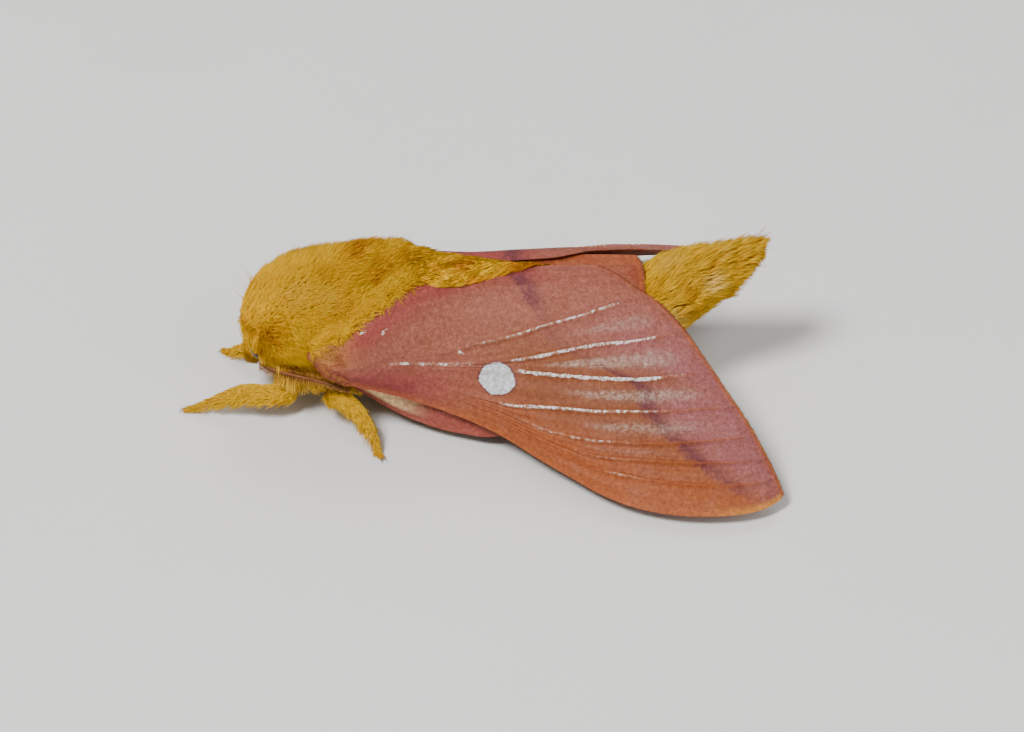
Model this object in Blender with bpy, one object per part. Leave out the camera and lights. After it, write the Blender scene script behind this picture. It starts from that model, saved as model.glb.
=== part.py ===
"""Oakworm moth at rest, a still life-size model of separate body parts, each a solid node.

Lengths below are millimetres in the moth's own layout: t is to the moth's left, s runs along the
body from the head to the tail and z is height above the floor. The head points to -Y.
"""
import bisect
import math
import random

import bmesh
import bpy
from mathutils import Vector

MM = 0.001
MID_STATION = 14.2
MID_SIDE = 1.0
GAP = 0.3
SHEET = 0.5
SEED = 20

# Thorax stations: s, half width, half height, centre height
THORAX = [
    (0.6, 1.5, 1.5, 5.75),
    (0.95, 2.1, 2.15, 5.8),
    (1.6, 2.8, 2.9, 5.85),
    (2.7, 3.4, 3.55, 5.9),
    (3.9, 3.8, 3.95, 5.9),
    (5.3, 4.0, 4.1, 5.95),
    (6.6, 4.0, 4.2, 6.0),
    (8.0, 3.8, 4.25, 6.15),
    (9.3, 3.35, 4.25, 6.3),
    (10.2, 2.9, 4.1, 6.5),
    (11.1, 2.4, 3.6, 6.5),
    (12.0, 1.9, 2.9, 6.85),
    (12.7, 1.4, 2.1, 7.2),
]
# Abdomen stations: s, half width, half height, centre height
ABDOMEN = [
    (11.6, 2.6, 2.5, 4.2),
    (13.0, 3.0, 2.9, 4.3),
    (16.0, 3.2, 3.0, 4.4),
    (20.0, 3.2, 2.95, 4.55),
    (22.0, 3.15, 2.85, 4.8),
    (24.0, 3.1, 2.75, 5.25),
    (25.2, 3.05, 2.75, 5.75),
    (27.0, 2.65, 2.5, 6.8),
    (28.8, 2.0, 2.0, 7.9),
    (30.3, 1.55, 1.5, 8.75),
    (31.2, 1.1, 1.1, 9.35),
    (32.2, 0.6, 0.6, 9.9),
]
# Line along the top of a forewing, from the shoulder along the fur and the back: s, t, z
TOP_LEFT = [
    (4.4, 3.9, 5.9), (5.0, 4.25, 6.3), (6.7, 4.5, 7.6), (8.3, 3.95, 8.65), (9.9, 2.95, 9.4),
    (11.5, 1.95, 9.5), (12.9, 1.2, 9.35), (14.5, 0.7, 9.25), (16.0, 0.55, 9.2), (18.0, 0.5, 9.15),
    (20.0, 0.45, 9.1), (22.0, 0.45, 9.05), (24.0, 0.45, 8.95), (26.0, 0.45, 8.75),
    (28.0, 0.45, 8.4), (32.0, 0.45, 7.4),
]
TOP_RIGHT = [
    (4.4, 4.1, 5.9), (5.0, 4.42, 6.2), (6.7, 4.4, 7.0), (8.3, 4.0, 7.6), (9.9, 3.35, 8.0),
    (11.5, 2.75, 8.1), (12.9, 2.4, 8.15), (14.5, 2.25, 8.2), (16.0, 2.2, 8.25), (18.0, 2.2, 8.3),
    (20.0, 2.2, 8.3), (22.0, 2.2, 8.3), (24.0, 2.2, 8.25), (26.0, 2.2, 8.0),
    (28.0, 2.2, 7.6), (32.0, 2.2, 6.8),
]
# Line along the front edge of a forewing: s, t, z
COSTA_LEFT = [
    (4.4, 4.0, 5.1), (5.56, 4.86, 4.6), (6.8, 4.95, 4.05), (8.2, 4.95, 3.6), (9.66, 5.1, 3.2),
    (11.4, 5.54, 2.8), (13.2, 6.2, 2.4), (14.9, 7.04, 2.0), (16.05, 7.79, 1.7), (17.7, 9.3, 1.4),
    (19.4, 10.85, 1.2), (21.0, 12.25, 1.0), (22.7, 13.4, 0.9), (24.4, 14.1, 0.85),
    (26.1, 14.5, 0.85), (27.8, 14.6, 0.85), (29.3, 14.45, 0.85), (30.5, 14.05, 0.85),
    (31.4, 13.4, 0.9), (32.0, 12.8, 1.0),
]
COSTA_RIGHT = [
    (4.4, 4.0, 5.1), (5.56, 4.8, 4.5), (6.8, 4.95, 4.0), (8.2, 5.0, 3.5), (9.66, 5.15, 3.1),
    (11.4, 5.5, 2.7), (13.2, 6.1, 2.3), (14.9, 6.9, 1.9), (16.05, 7.5, 1.6), (17.7, 8.7, 1.35),
    (19.4, 9.9, 1.15), (21.0, 11.0, 1.0), (22.7, 11.9, 0.9), (24.4, 12.4, 0.85),
    (26.1, 12.6, 0.85), (27.8, 12.6, 0.85), (29.3, 12.4, 0.85), (30.5, 12.0, 0.85),
    (31.4, 11.5, 0.9), (32.0, 11.1, 1.0),
]
# Outward swell of a forewing's cross section: s, height on the left, height on the right
SWELL = [(4.4, 0.05, 0.05), (6.7, 0.35, 0.3), (9.9, 0.75, 0.45), (13.0, 1.0, 0.35),
         (16.0, 1.1, 0.2), (20.0, 1.1, 0.15), (24.0, 0.9, 0.12), (28.0, 0.7, 0.12),
         (32.0, 0.5, 0.1)]
# Outer margin of a forewing: fraction of the cross section, s
FORE_MARGIN = [
    (0.0, 21.4), (0.03, 22.3), (0.07, 23.1), (0.11, 23.8), (0.15, 24.7), (0.2, 25.5),
    (0.29, 26.57), (0.4, 27.63), (0.517, 28.69), (0.637, 29.77), (0.753, 30.56),
    (0.867, 31.18), (0.964, 31.58), (1.0, 31.65),
]
FORE_ROOT_S = 4.7
# Forewing veins from the hind margin to the costa: fraction along, fraction across
FORE_VEINS = [
    [(0.0, 0.16), (0.3, 0.2), (0.6, 0.13), (1.0, 0.05)],
    [(0.0, 0.4), (0.15, 0.56), (0.3, 0.63), (0.42, 0.575), (0.5, 0.485), (0.72, 0.305), (0.95, 0.165),
     (1.0, 0.15)],
    [(0.0, 0.46), (0.15, 0.6), (0.3, 0.655), (0.45, 0.61), (0.53, 0.555), (0.71, 0.424), (0.9, 0.32),
     (1.0, 0.29)],
    [(0.0, 0.52), (0.15, 0.64), (0.3, 0.68), (0.45, 0.645), (0.53, 0.6), (0.725, 0.5), (0.94, 0.457),
     (1.0, 0.447)],
    [(0.0, 0.68), (0.15, 0.78), (0.35, 0.83), (0.456, 0.805), (0.56, 0.73), (0.645, 0.674),
     (0.835, 0.611), (1.0, 0.58)],
    [(0.0, 0.74), (0.15, 0.82), (0.35, 0.86), (0.523, 0.827), (0.686, 0.771), (0.814, 0.735),
     (1.0, 0.7)],
    [(0.0, 0.8), (0.15, 0.86), (0.35, 0.89), (0.573, 0.865), (0.7, 0.83), (1.0, 0.81)],
    [(0.0, 0.86), (0.15, 0.9), (0.35, 0.92), (0.6, 0.91), (0.75, 0.895), (1.0, 0.9)],
]
# Hindwing edges: s, fraction of the section where the inner edge lies
HIND_INNER = [(8.6, 0.4), (10.0, 0.3), (12.0, 0.14), (13.6, 0.04), (15.0, 0.0), (32.0, 0.0)]
# Left hindwing, length in millimetres carried over the midline: s, length
HIND_OVER = [(8.6, 0.0), (14.0, 0.0), (16.5, 1.0), (19.0, 1.75), (24.6, 1.8)]
# Hindwing front edge: s, length past the costa (negative inside it)
HIND_FRONT = [
    (8.6, 1.1), (9.6, 1.6), (11.4, 1.7), (13.1, 1.35), (14.3, 0.9), (15.5, 0.15), (17.0, -0.75),
    (19.0, -1.9), (21.0, -3.2), (24.6, -5.0),
]
HIND_MARGIN = [(0.0, 24.3), (0.1, 24.5), (0.25, 24.45), (0.45, 23.9), (0.65, 23.1), (0.85, 22.1),
               (1.0, 21.0)]
HIND_ROOT_S = 8.6
HIND_VEINS = [
    [(0.0, 0.2), (0.5, 0.12), (1.0, 0.1)],
    [(0.0, 0.36), (0.5, 0.36), (1.0, 0.32)],
    [(0.0, 0.5), (0.35, 0.55), (0.6, 0.58), (1.0, 0.52)],
    [(0.0, 0.62), (0.35, 0.68), (0.6, 0.73), (1.0, 0.74)],
    [(0.0, 0.82), (0.5, 0.86), (1.0, 0.9)],
]
# Plain grid lines in the field before each vein
FORE_PLAIN = [0, 2, 0, 0, 1, 0, 0, 0]
HIND_PLAIN = [1, 0, 0, 0, 1]
FORE_VEIN_HEIGHT = 0.17
HIND_VEIN_HEIGHT = 0.1
VEIN_HALF = 0.2

# Coat: how deep each body's core lies under the outline, and the rows of locks (s, count, length)
THORAX_CORE = 0.62
ABDOMEN_CORE = 0.55
THORAX_LOCKS = [(0.75, 6, 2.2), (1.8, 8, 2.7), (3.1, 8, 2.9), (4.4, 8, 2.9), (5.7, 7, 2.9),
                (7.0, 6, 2.9), (8.3, 5, 2.9), (9.6, 5, 2.9)]
ABDOMEN_LOCKS = [(23.6, 4, 2.3), (25.1, 8, 2.3), (26.4, 8, 2.3), (27.7, 7, 2.3), (28.9, 6, 2.1),
                 (29.9, 5, 1.7)]
HEAD_LOCKS = [(-0.5, 4, 1.3), (0.2, 5, 1.3), (0.85, 4, 1.1)]
LEG_LOCKS = 4
LEG_LOCK_FLOOR = 0.4
LOCK_THICK = 0.25
LOCK_RUN = (0.0, 0.35, 0.7, 1.0)
LOCK_WIDTH = (0.8, 1.0, 0.62)
LOCK_HEIGHT = (1.0, 1.0, 0.65)

EYE_RADIUS = 0.7
EYE = (1.15, 1.5, 4.35)
HEAD_CENTRE = (0.0, 1.95, 4.85)
# Head profile down its axis towards the mouth: distance from the centre, half width
HEAD_PROFILE = [(-1.55, 0.7), (-1.25, 1.1), (-0.75, 1.42), (-0.15, 1.57), (0.45, 1.52),
                (0.95, 1.36), (1.35, 1.12), (1.7, 0.75), (1.9, 0.35)]
HEAD_AXIS = (0.0, -0.45, -0.89)
HEAD_BACK = (0.0, 0.89, -0.45)
HEAD_DEEP = 0.9
NECK = (0.0, 2.3, 5.5)
NECK_NORMAL = (0.0, -0.825, -0.565)

LEGS = {
    "leg_fore_left": [
        (1.5, 3.6, 1.85, 0.42, 0.5), (2.1, 3.0, 1.72, 0.5, 0.6), (2.5, 1.8, 1.88, 0.48, 0.62),
        (2.2, 0.5, 1.75, 0.42, 0.62), (1.95, -0.6, 1.3, 0.38, 0.48), (1.75, -1.7, 0.8, 0.31, 0.34),
        (1.65, -2.5, 0.42, 0.26, 0.26), (1.6, -3.0, 0.24, 0.26, 0.27), (1.57, -3.35, 0.23, 0.24, 0.25),
    ],
    "leg_fore_right": [
        (-1.5, 3.6, 1.85, 0.42, 0.5), (-2.1, 3.1, 1.75, 0.5, 0.65), (-2.6, 2.2, 1.7, 0.46, 0.62),
        (-3.1, 1.3, 1.4, 0.4, 0.52), (-3.5, 0.5, 1.0, 0.36, 0.42), (-3.85, -0.1, 0.6, 0.3, 0.32),
        (-4.1, -0.5, 0.32, 0.26, 0.27), (-4.25, -0.75, 0.24, 0.26, 0.27), (-4.4, -1.05, 0.23, 0.24, 0.25),
    ],
    "leg_mid_left": [
        (1.6, 5.8, 1.65, 0.45, 0.45), (2.4, 5.75, 1.75, 0.5, 0.6), (3.3, 5.9, 2.15, 0.48, 0.6),
        (4.0, 6.35, 2.4, 0.45, 0.55), (4.7, 7.1, 2.05, 0.42, 0.5), (5.5, 7.75, 1.35, 0.36, 0.4),
        (6.1, 8.1, 0.78, 0.29, 0.31), (6.5, 8.22, 0.34, 0.26, 0.27), (6.8, 8.34, 0.24, 0.26, 0.27),
        (7.1, 8.5, 0.23, 0.24, 0.25),
    ],
    "leg_mid_right": [
        (-1.6, 5.8, 1.65, 0.45, 0.45), (-2.4, 5.75, 1.75, 0.5, 0.6), (-3.3, 5.9, 2.15, 0.48, 0.6),
        (-4.0, 6.35, 2.4, 0.45, 0.55), (-4.7, 7.1, 2.05, 0.42, 0.5), (-5.5, 7.75, 1.35, 0.36, 0.4),
        (-6.1, 8.1, 0.78, 0.29, 0.31), (-6.5, 8.22, 0.34, 0.26, 0.27), (-6.8, 8.34, 0.24, 0.26, 0.27),
        (-7.1, 8.5, 0.23, 0.24, 0.25),
    ],
    "leg_hind_left": [
        (1.3, 8.3, 1.75, 0.42, 0.45), (1.9, 8.8, 1.9, 0.48, 0.56), (2.5, 9.8, 2.3, 0.42, 0.55),
        (2.9, 10.8, 2.45, 0.38, 0.48), (3.2, 11.6, 1.9, 0.34, 0.42), (3.6, 12.5, 1.2, 0.3, 0.34),
        (3.9, 13.2, 0.6, 0.26, 0.28), (4.05, 13.6, 0.3, 0.25, 0.26), (4.15, 13.9, 0.24, 0.26, 0.27),
        (4.25, 14.3, 0.23, 0.24, 0.25),
    ],
}
ANTENNA = [
    (1.2, 1.45, 3.0), (1.9, 2.1, 2.85), (2.75, 3.1, 3.1), (3.4, 4.2, 3.35), (4.0, 5.3, 3.5),
    (4.35, 6.2, 3.45), (4.45, 6.8, 3.35), (4.45, 7.3, 3.15),
]


def interp(table, x):
    """Smooth values between the rows of a table whose first column rises."""
    keys = [row[0] for row in table]
    x = min(max(x, keys[0]), keys[-1])
    last = len(keys) - 1
    i = min(max(bisect.bisect_right(keys, x) - 1, 0), last - 1)
    step = keys[i + 1] - keys[i]
    f = (x - keys[i]) / step
    values = []
    for c in range(1, len(table[0])):
        lo = max(i - 1, 0)
        hi = min(i + 2, last)
        m0 = (table[i + 1][c] - table[lo][c]) / (keys[i + 1] - keys[lo]) * step
        m1 = (table[hi][c] - table[i][c]) / (keys[hi] - keys[i]) * step
        a = table[i][c]
        b = table[i + 1][c]
        value = (2 * f ** 3 - 3 * f ** 2 + 1) * a + (f ** 3 - 2 * f ** 2 + f) * m0
        value += (-2 * f ** 3 + 3 * f ** 2) * b + (f ** 3 - f ** 2) * m1
        values.append(value)
    return values


def place(p):
    """Layout millimetres to scene metres."""
    return Vector(((p[0] - MID_SIDE) * MM, (p[1] - MID_STATION) * MM, p[2] * MM))


def smooth(x):
    x = min(max(x, 0.0), 1.0)
    return x * x * (3 - 2 * x)


def make_material(name, rgb, roughness):
    mat = bpy.data.materials.new(name)
    mat.use_nodes = True
    shader = mat.node_tree.nodes["Principled BSDF"]
    shader.inputs["Base Color"].default_value = (rgb[0], rgb[1], rgb[2], 1.0)
    shader.inputs["Roughness"].default_value = roughness
    shader.inputs["Metallic"].default_value = 0.0
    mat.diffuse_color = (rgb[0], rgb[1], rgb[2], 1.0)
    return mat


def make_object(name, points, faces, mat):
    """One closed mesh of triangles from layout points, with its faces turned outward."""
    mesh = bpy.data.meshes.new(name)
    mesh.from_pydata([place(p) for p in points], [], faces)
    bm = bmesh.new()
    bm.from_mesh(mesh)
    bmesh.ops.triangulate(bm, faces=bm.faces)
    bmesh.ops.recalc_face_normals(bm, faces=bm.faces)
    bm.to_mesh(mesh)
    bm.free()
    mesh.materials.append(mat)
    obj = bpy.data.objects.new(name, mesh)
    bpy.context.scene.collection.objects.link(obj)
    return obj


def loft(rings):
    """Closed skin through rings of equal length, with a flat cap or a point at each end."""
    points = []
    starts = []
    for ring in rings:
        starts.append(len(points))
        points.extend(ring)
    faces = []
    for k in range(len(rings) - 1):
        a = starts[k]
        b = starts[k + 1]
        na = len(rings[k])
        nb = len(rings[k + 1])
        count = max(na, nb)
        for j in range(count):
            j2 = (j + 1) % count
            if na == 1:
                faces.append((a, b + j2, b + j))
            elif nb == 1:
                faces.append((a + j, a + j2, b))
            else:
                faces.append((a + j, a + j2, b + j2, b + j))
    if len(rings[0]) > 1:
        faces.append(tuple(reversed(range(starts[0], starts[0] + len(rings[0])))))
    if len(rings[-1]) > 1:
        faces.append(tuple(range(starts[-1], starts[-1] + len(rings[-1]))))
    return points, faces


def trunk_point(table, s, angle, depth):
    """Point on a body surface at a station, an angle round it and a depth below its outline."""
    a, b, z = interp(table, s)
    a = max(a - depth, 0.05)
    b = max(b - depth, 0.05)
    return (a * math.cos(angle), s, z + b * math.sin(angle))


def under_wing(s, point):
    """0 where the body's coat is free, 1 where the wings lie on it."""
    top_z = interp(TOP_LEFT if point[0] > 0 else TOP_RIGHT, s)[1]
    low_z = interp(COSTA_LEFT, s)[1]
    if s < 4.4:
        return 0.0
    inside = smooth((top_z + 0.1 - point[2]) / 0.7) * smooth((point[2] - low_z + 1.0) / 0.8)
    return inside * smooth((s - 4.0) / 0.5)


def thorax_skin(s, angle, depth):
    free = trunk_point(THORAX, s, angle, 0.0)
    cover = under_wing(s, free) * 0.65
    feeler = smooth((5.0 - free[2]) / 0.8) * 0.5
    return trunk_point(THORAX, s, angle, max(depth, cover, feeler))


def free_edge(table, s):
    """Angle on the thorax where its free coat starts above a wing, or above the feelers."""
    half, high, centre = interp(THORAX, s)
    low = 4.75
    if s > 4.0:
        low = low + (max(interp(table, s)[1] + 0.55, low) - low) * smooth((s - 4.0) / 1.0)
    return math.asin(max(min((low - centre) / high, 0.98), -0.9))


def thorax_coat(s, across, depth):
    """Point of the thorax's coat: across runs over the back from the left wing to the right."""
    left = free_edge(TOP_LEFT, s)
    right = free_edge(TOP_RIGHT, s)
    return trunk_point(THORAX, s, left + (math.pi - left - right) * across, depth)


def abdomen_coat(s, across, depth):
    return trunk_point(ABDOMEN, s, 2 * math.pi * across, depth)


def head_point(along, across, depth):
    """Point of the head down its axis; across goes once round from the left."""
    radius = interp(HEAD_PROFILE, along)[0] - depth
    angle = 2 * math.pi * across
    point = Vector(HEAD_CENTRE) + Vector(HEAD_AXIS) * along
    point += Vector((1, 0, 0)) * radius * math.cos(angle)
    point += Vector(HEAD_BACK) * radius * HEAD_DEEP * math.sin(angle)
    return tuple(point)


def lock_solid(spine, normals, half_width, mat, group):
    """Flat tapered lock along a spine of four points: three diamond rings and a tip."""
    points = []
    for i in range(3):
        ahead = (spine[i + 1] - spine[max(i - 1, 0)]).normalized()
        side = normals[i].cross(ahead).normalized()
        out = ahead.cross(side).normalized()
        wide = side * half_width * LOCK_WIDTH[i]
        high = out * LOCK_THICK * LOCK_HEIGHT[i]
        points += [spine[i] - wide, spine[i] + high, spine[i] + wide, spine[i] - high]
    points.append(spine[3])
    faces = [(0, 3, 2, 1)]
    for i in range(2):
        for k in range(4):
            a = i * 4 + k
            b = i * 4 + (k + 1) % 4
            faces.append((a, b, b + 4, a + 4))
    for k in range(4):
        faces.append((8 + k, 8 + (k + 1) % 4, 12))
    obj = make_object("lock", [tuple(point) for point in points], faces, mat)
    bpy.context.scene.collection.objects.unlink(obj)
    group.objects.link(obj)


def coat_lock(coat, s, across, length, half_width, depths, drift, mat, group):
    """One lock laid along a coat surface, its root sunk in the core and its tip at the outline."""
    spine = []
    normals = []
    for run, depth in zip(LOCK_RUN, depths):
        here = s + length * run
        a = across + drift * run
        spine.append(Vector(coat(here, a, depth)))
        outer = Vector(coat(here, a, depth - 0.2))
        normals.append((outer - spine[-1]).normalized())
    lock_solid(spine, normals, half_width, mat, group)


def lock_group():
    return bpy.data.collections.new("locks")


def trunk_rings(skin, stations, count, depth):
    rings = []
    for s in stations:
        rings.append([skin(s, 2 * math.pi * k / count, depth) for k in range(count)])
    return rings


def cut_away(obj, point, normal):
    """Cut a solid by a plane, keep the side the normal points away from and cap it."""
    bm = bmesh.new()
    bm.from_mesh(obj.data)
    geom = bm.verts[:] + bm.edges[:] + bm.faces[:]
    bmesh.ops.bisect_plane(bm, geom=geom, dist=1e-7, plane_co=place(point), plane_no=Vector(normal),
                           clear_outer=True)
    edges = [e for e in bm.edges if e.is_boundary]
    bmesh.ops.holes_fill(bm, edges=edges, sides=0)
    bmesh.ops.recalc_face_normals(bm, faces=bm.faces)
    bm.to_mesh(obj.data)
    bm.free()
    keep_largest(obj)


def boolean(obj, other, operation):
    """Apply one Boolean with another object or a collection, then drop what was used."""
    mod = obj.modifiers.new("join", "BOOLEAN")
    mod.operation = operation
    mod.solver = "MANIFOLD"
    if isinstance(other, bpy.types.Collection):
        mod.operand_type = "COLLECTION"
        mod.collection = other
    else:
        mod.object = other
    graph = bpy.context.evaluated_depsgraph_get()
    mesh = bpy.data.meshes.new_from_object(obj.evaluated_get(graph))
    obj.modifiers.clear()
    obj.data = mesh
    keep_largest(obj)
    if isinstance(other, bpy.types.Collection):
        for piece in list(other.objects):
            bpy.data.objects.remove(piece)
        bpy.data.collections.remove(other)
    else:
        bpy.data.objects.remove(other)


def keep_largest(obj):
    """Keep the largest closed surface of a mesh."""
    bm = bmesh.new()
    bm.from_mesh(obj.data)
    left = set(bm.verts)
    islands = []
    while left:
        seed = left.pop()
        island = [seed]
        queue = [seed]
        while queue:
            vert = queue.pop()
            for edge in vert.link_edges:
                other = edge.other_vert(vert)
                if other in left:
                    left.remove(other)
                    island.append(other)
                    queue.append(other)
        islands.append(island)
    islands.sort(key=len)
    for island in islands[:-1]:
        bmesh.ops.delete(bm, geom=island, context="VERTS")
    bm.to_mesh(obj.data)
    bm.free()


def build_thorax(mat):
    stations = [1.05, 1.5, 2.2, 3.1, 4.2, 5.4, 6.6, 7.8, 9.0, 10.2, 11.1, 11.9]
    rings = trunk_rings(thorax_skin, stations, 24, THORAX_CORE)
    points, faces = loft(rings)
    thorax = make_object("thorax", points, faces, mat)
    rng = random.Random(SEED)
    group = lock_group()
    for row, (s, count, length) in enumerate(THORAX_LOCKS):
        for k in range(count):
            across = (k + 0.5 + 0.25 * (-1) ** row) / count
            start = s + rng.uniform(-0.2, 0.2)
            half = 4.9 / count * rng.uniform(0.85, 1.1)
            depths = (THORAX_CORE + 0.2, 0.3, 0.12, rng.uniform(-0.05, 0.08))
            drift = rng.uniform(-0.02, 0.02)
            coat_lock(thorax_coat, start, across, length * rng.uniform(0.9, 1.1), half, depths,
                      drift, mat, group)
    boolean(thorax, group, "UNION")
    cut_away(thorax, NECK, NECK_NORMAL)
    cut_away(thorax, (0.0, 10.9, 5.0), (0.0, 0.6, -0.8))
    return thorax


def build_head(mat):
    rings = []
    for along, radius in HEAD_PROFILE:
        rings.append([head_point(along, k / 18, 0.0) for k in range(18)])
    points, faces = loft(rings)
    head = make_object("head", points, faces, mat)
    rng = random.Random(SEED + 1)
    group = lock_group()
    for along, count, length in HEAD_LOCKS:
        for k in range(count):
            across = 0.75 + (k - (count - 1) / 2) * 0.09 + rng.uniform(-0.01, 0.01)
            depths = (0.2, -0.12, -0.25, rng.uniform(-0.4, -0.3))
            coat_lock(head_point, along, across, length, 0.4, depths, 0.0, mat, group)
    boolean(head, group, "UNION")
    normal = Vector(NECK_NORMAL)
    cut_away(head, Vector(NECK) + normal * GAP, -normal)
    return head


def ball(name, centre, radius, mat, across, along):
    rings = [[(centre[0], centre[1], centre[2] - radius)]]
    for i in range(1, along):
        phi = math.pi * i / along
        ring = []
        for k in range(across):
            a = 2 * math.pi * k / across
            ring.append((centre[0] + radius * math.sin(phi) * math.cos(a),
                         centre[1] + radius * math.sin(phi) * math.sin(a),
                         centre[2] - radius * math.cos(phi)))
        rings.append(ring)
    rings.append([(centre[0], centre[1], centre[2] + radius)])
    points, faces = loft(rings)
    return make_object(name, points, faces, mat)


def build_eyes(head, mat):
    for side, name in ((1, "eye_left"), (-1, "eye_right")):
        centre = (EYE[0] * side, EYE[1], EYE[2])
        socket = ball("socket", centre, EYE_RADIUS + GAP, mat, 16, 8)
        boolean(head, socket, "DIFFERENCE")
        ball(name, centre, EYE_RADIUS, mat, 14, 8)


def abdomen_skin(s, angle, depth):
    """The coat lies flat where the wings rest on the abdomen."""
    cover = smooth(math.sin(angle) * 3 + 0.5) * smooth((25.6 - s) / 1.0)
    return trunk_point(ABDOMEN, s, angle, max(depth, 0.9 * cover))


def build_abdomen(mat):
    stations = [11.6, 12.2, 13.0, 15.0, 18.0, 21.0, 23.0, 24.4, 25.4, 26.4, 27.6, 28.8, 29.8, 30.6]
    rings = trunk_rings(abdomen_skin, stations, 18, ABDOMEN_CORE)
    rings.append([(0.0, 31.0, 9.2)])
    points, faces = loft(rings)
    abdomen = make_object("abdomen", points, faces, mat)
    rng = random.Random(SEED + 2)
    group = lock_group()
    for row, (s, count, length) in enumerate(ABDOMEN_LOCKS):
        for k in range(count):
            across = (k + 0.5 * (row % 2)) / count
            if row == 0:
                across = 0.55 + 0.4 * k / (count - 1)
            start = s + rng.uniform(-0.15, 0.15)
            half = 0.95 * rng.uniform(0.85, 1.1)
            depths = (ABDOMEN_CORE + 0.2, 0.3, 0.1, rng.uniform(-0.15, 0.1))
            drift = rng.uniform(-0.02, 0.02)
            coat_lock(abdomen_coat, start, across, length * rng.uniform(0.9, 1.1), half, depths,
                      drift, mat, group)
    boolean(abdomen, group, "UNION")
    cut_away(abdomen, (0.0, 10.9 + 0.6 * GAP, 5.0 - 0.8 * GAP), (0.0, -0.6, 0.8))
    return abdomen


def tube(name, path, mat, count):
    """Tube along a path of (t, s, z, half width, half height), flat underneath on the floor."""
    rings = []
    last = len(path) - 1
    for i, row in enumerate(path):
        ahead = Vector(path[min(i + 1, last)][:3]) - Vector(path[max(i - 1, 0)][:3])
        ahead.normalize()
        side = ahead.cross(Vector((0, 0, 1)))
        side.normalize()
        up = side.cross(ahead)
        ring = []
        for k in range(count):
            a = 2 * math.pi * (k + 0.5) / count - math.pi / 2
            p = Vector(row[:3]) + side * row[3] * math.cos(a) + up * row[4] * math.sin(a)
            ring.append((p.x, p.y, max(p.z, 0.0)))
        rings.append(ring)
    points, faces = loft(rings)
    return make_object(name, points, faces, mat)


def build_legs(mat):
    paths = dict(LEGS)
    paths["leg_hind_right"] = [(-row[0],) + row[1:] for row in LEGS["leg_hind_left"]]
    for number, (name, path) in enumerate(paths.items()):
        leg = tube(name, path, mat, 8)
        rng = random.Random(SEED + 10 + number)
        group = lock_group()
        for k in range(LEG_LOCKS):
            run = 1.3 + k * 0.9
            i = int(run)
            f = run - i
            root = Vector(path[i][:3]).lerp(Vector(path[i + 1][:3]), f)
            ahead = (Vector(path[i + 1][:3]) - Vector(path[i][:3])).normalized()
            side = ahead.cross(Vector((0, 0, 1))).normalized()
            down = ahead.cross(side).normalized()
            high = path[i][4] * (1 - f) + path[i + 1][4] * f
            length = rng.uniform(0.9, 1.1)
            spine = []
            for out, along in ((0.0, 0.0), (high * 0.75, 0.3), (high + 0.15, 0.75), (high + 0.3, 1.15)):
                point = root + down * out + ahead * along * length
                point.z = max(point.z, LEG_LOCK_FLOOR)
                spine.append(point)
            lock_solid(spine, [down] * 4, 0.3, mat, group)
        boolean(leg, group, "UNION")


def spline(points, per_span):
    """Smooth path through points."""
    rows = [(i,) + tuple(p) for i, p in enumerate(points)]
    total = (len(points) - 1) * per_span
    return [tuple(interp(rows, i / per_span)) for i in range(total + 1)]


def build_antenna(name, side, mat):
    path = spline(ANTENNA, 3)
    rows = []
    last = len(path) - 1
    for i, p in enumerate(path):
        taper = 1.0 - 0.35 * smooth((i - last * 0.6) / (last * 0.4))
        tooth = 0.3 if i % 2 else 0.24
        rows.append((p[0] * side, p[1], p[2], 0.25 * taper, tooth * taper))
    tube(name, rows, mat, 6)


def roof(side, s, w):
    """Point of a forewing's middle surface: w runs from the back (0) to the front edge (1)."""
    tt, zt = interp(TOP_LEFT if side > 0 else TOP_RIGHT, s)
    tb, zb = interp(COSTA_LEFT if side > 0 else COSTA_RIGHT, s)
    swell = interp(SWELL, s)[0 if side > 0 else 1]
    dt = tb - tt
    dz = zb - zt
    size = math.hypot(dt, dz)
    k = swell * 4 * w * (1 - w) * (1.35 - 0.7 * w)
    return Vector((tt + dt * w - dz / size * k, s, zt + dz * w + dt / size * k))


def roof_normal(side, s, w):
    ds = roof(side, s + 0.05, w) - roof(side, s - 0.05, w)
    dw = roof(side, s, w + 0.01) - roof(side, s, w - 0.01)
    return ds.cross(dw).normalized() * -1


def fore_point(side, u, v):
    s = FORE_ROOT_S + (interp(FORE_MARGIN, u)[0] - FORE_ROOT_S) * v
    return roof(side, s, u), roof_normal(side, s, u)


def hind_point(side, u, v):
    """Point and normal of a hindwing's middle surface, tucked under the forewing."""
    s = HIND_ROOT_S + (interp(HIND_MARGIN, u)[0] - HIND_ROOT_S) * v
    length = (roof(side, s, 1.0) - roof(side, s, 0.0)).length
    over = interp(HIND_OVER, s)[0] if side > 0 else 0.0
    start = interp(HIND_INNER, s)[0] * length - over
    end = length + interp(HIND_FRONT, s)[0]
    along = start + (end - start) * u
    w = min(max(along / length, 0.0), 1.0)
    normal = roof_normal(side, s, w)
    base = roof(side, s, w) - normal * (SHEET + GAP + HIND_VEIN_HEIGHT + 0.07)
    if along < 0:
        base += Vector((-1.0, 0.0, 0.12)) * -along
        normal = (normal * (1 + along / 2) + Vector((0, 0, 1)) * (-along / 2)).normalized()
    if along > length:
        tangent = (roof(side, s, 1.0) - roof(side, s, 0.97)).normalized()
        base += tangent * (along - length)
    return base, normal


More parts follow.
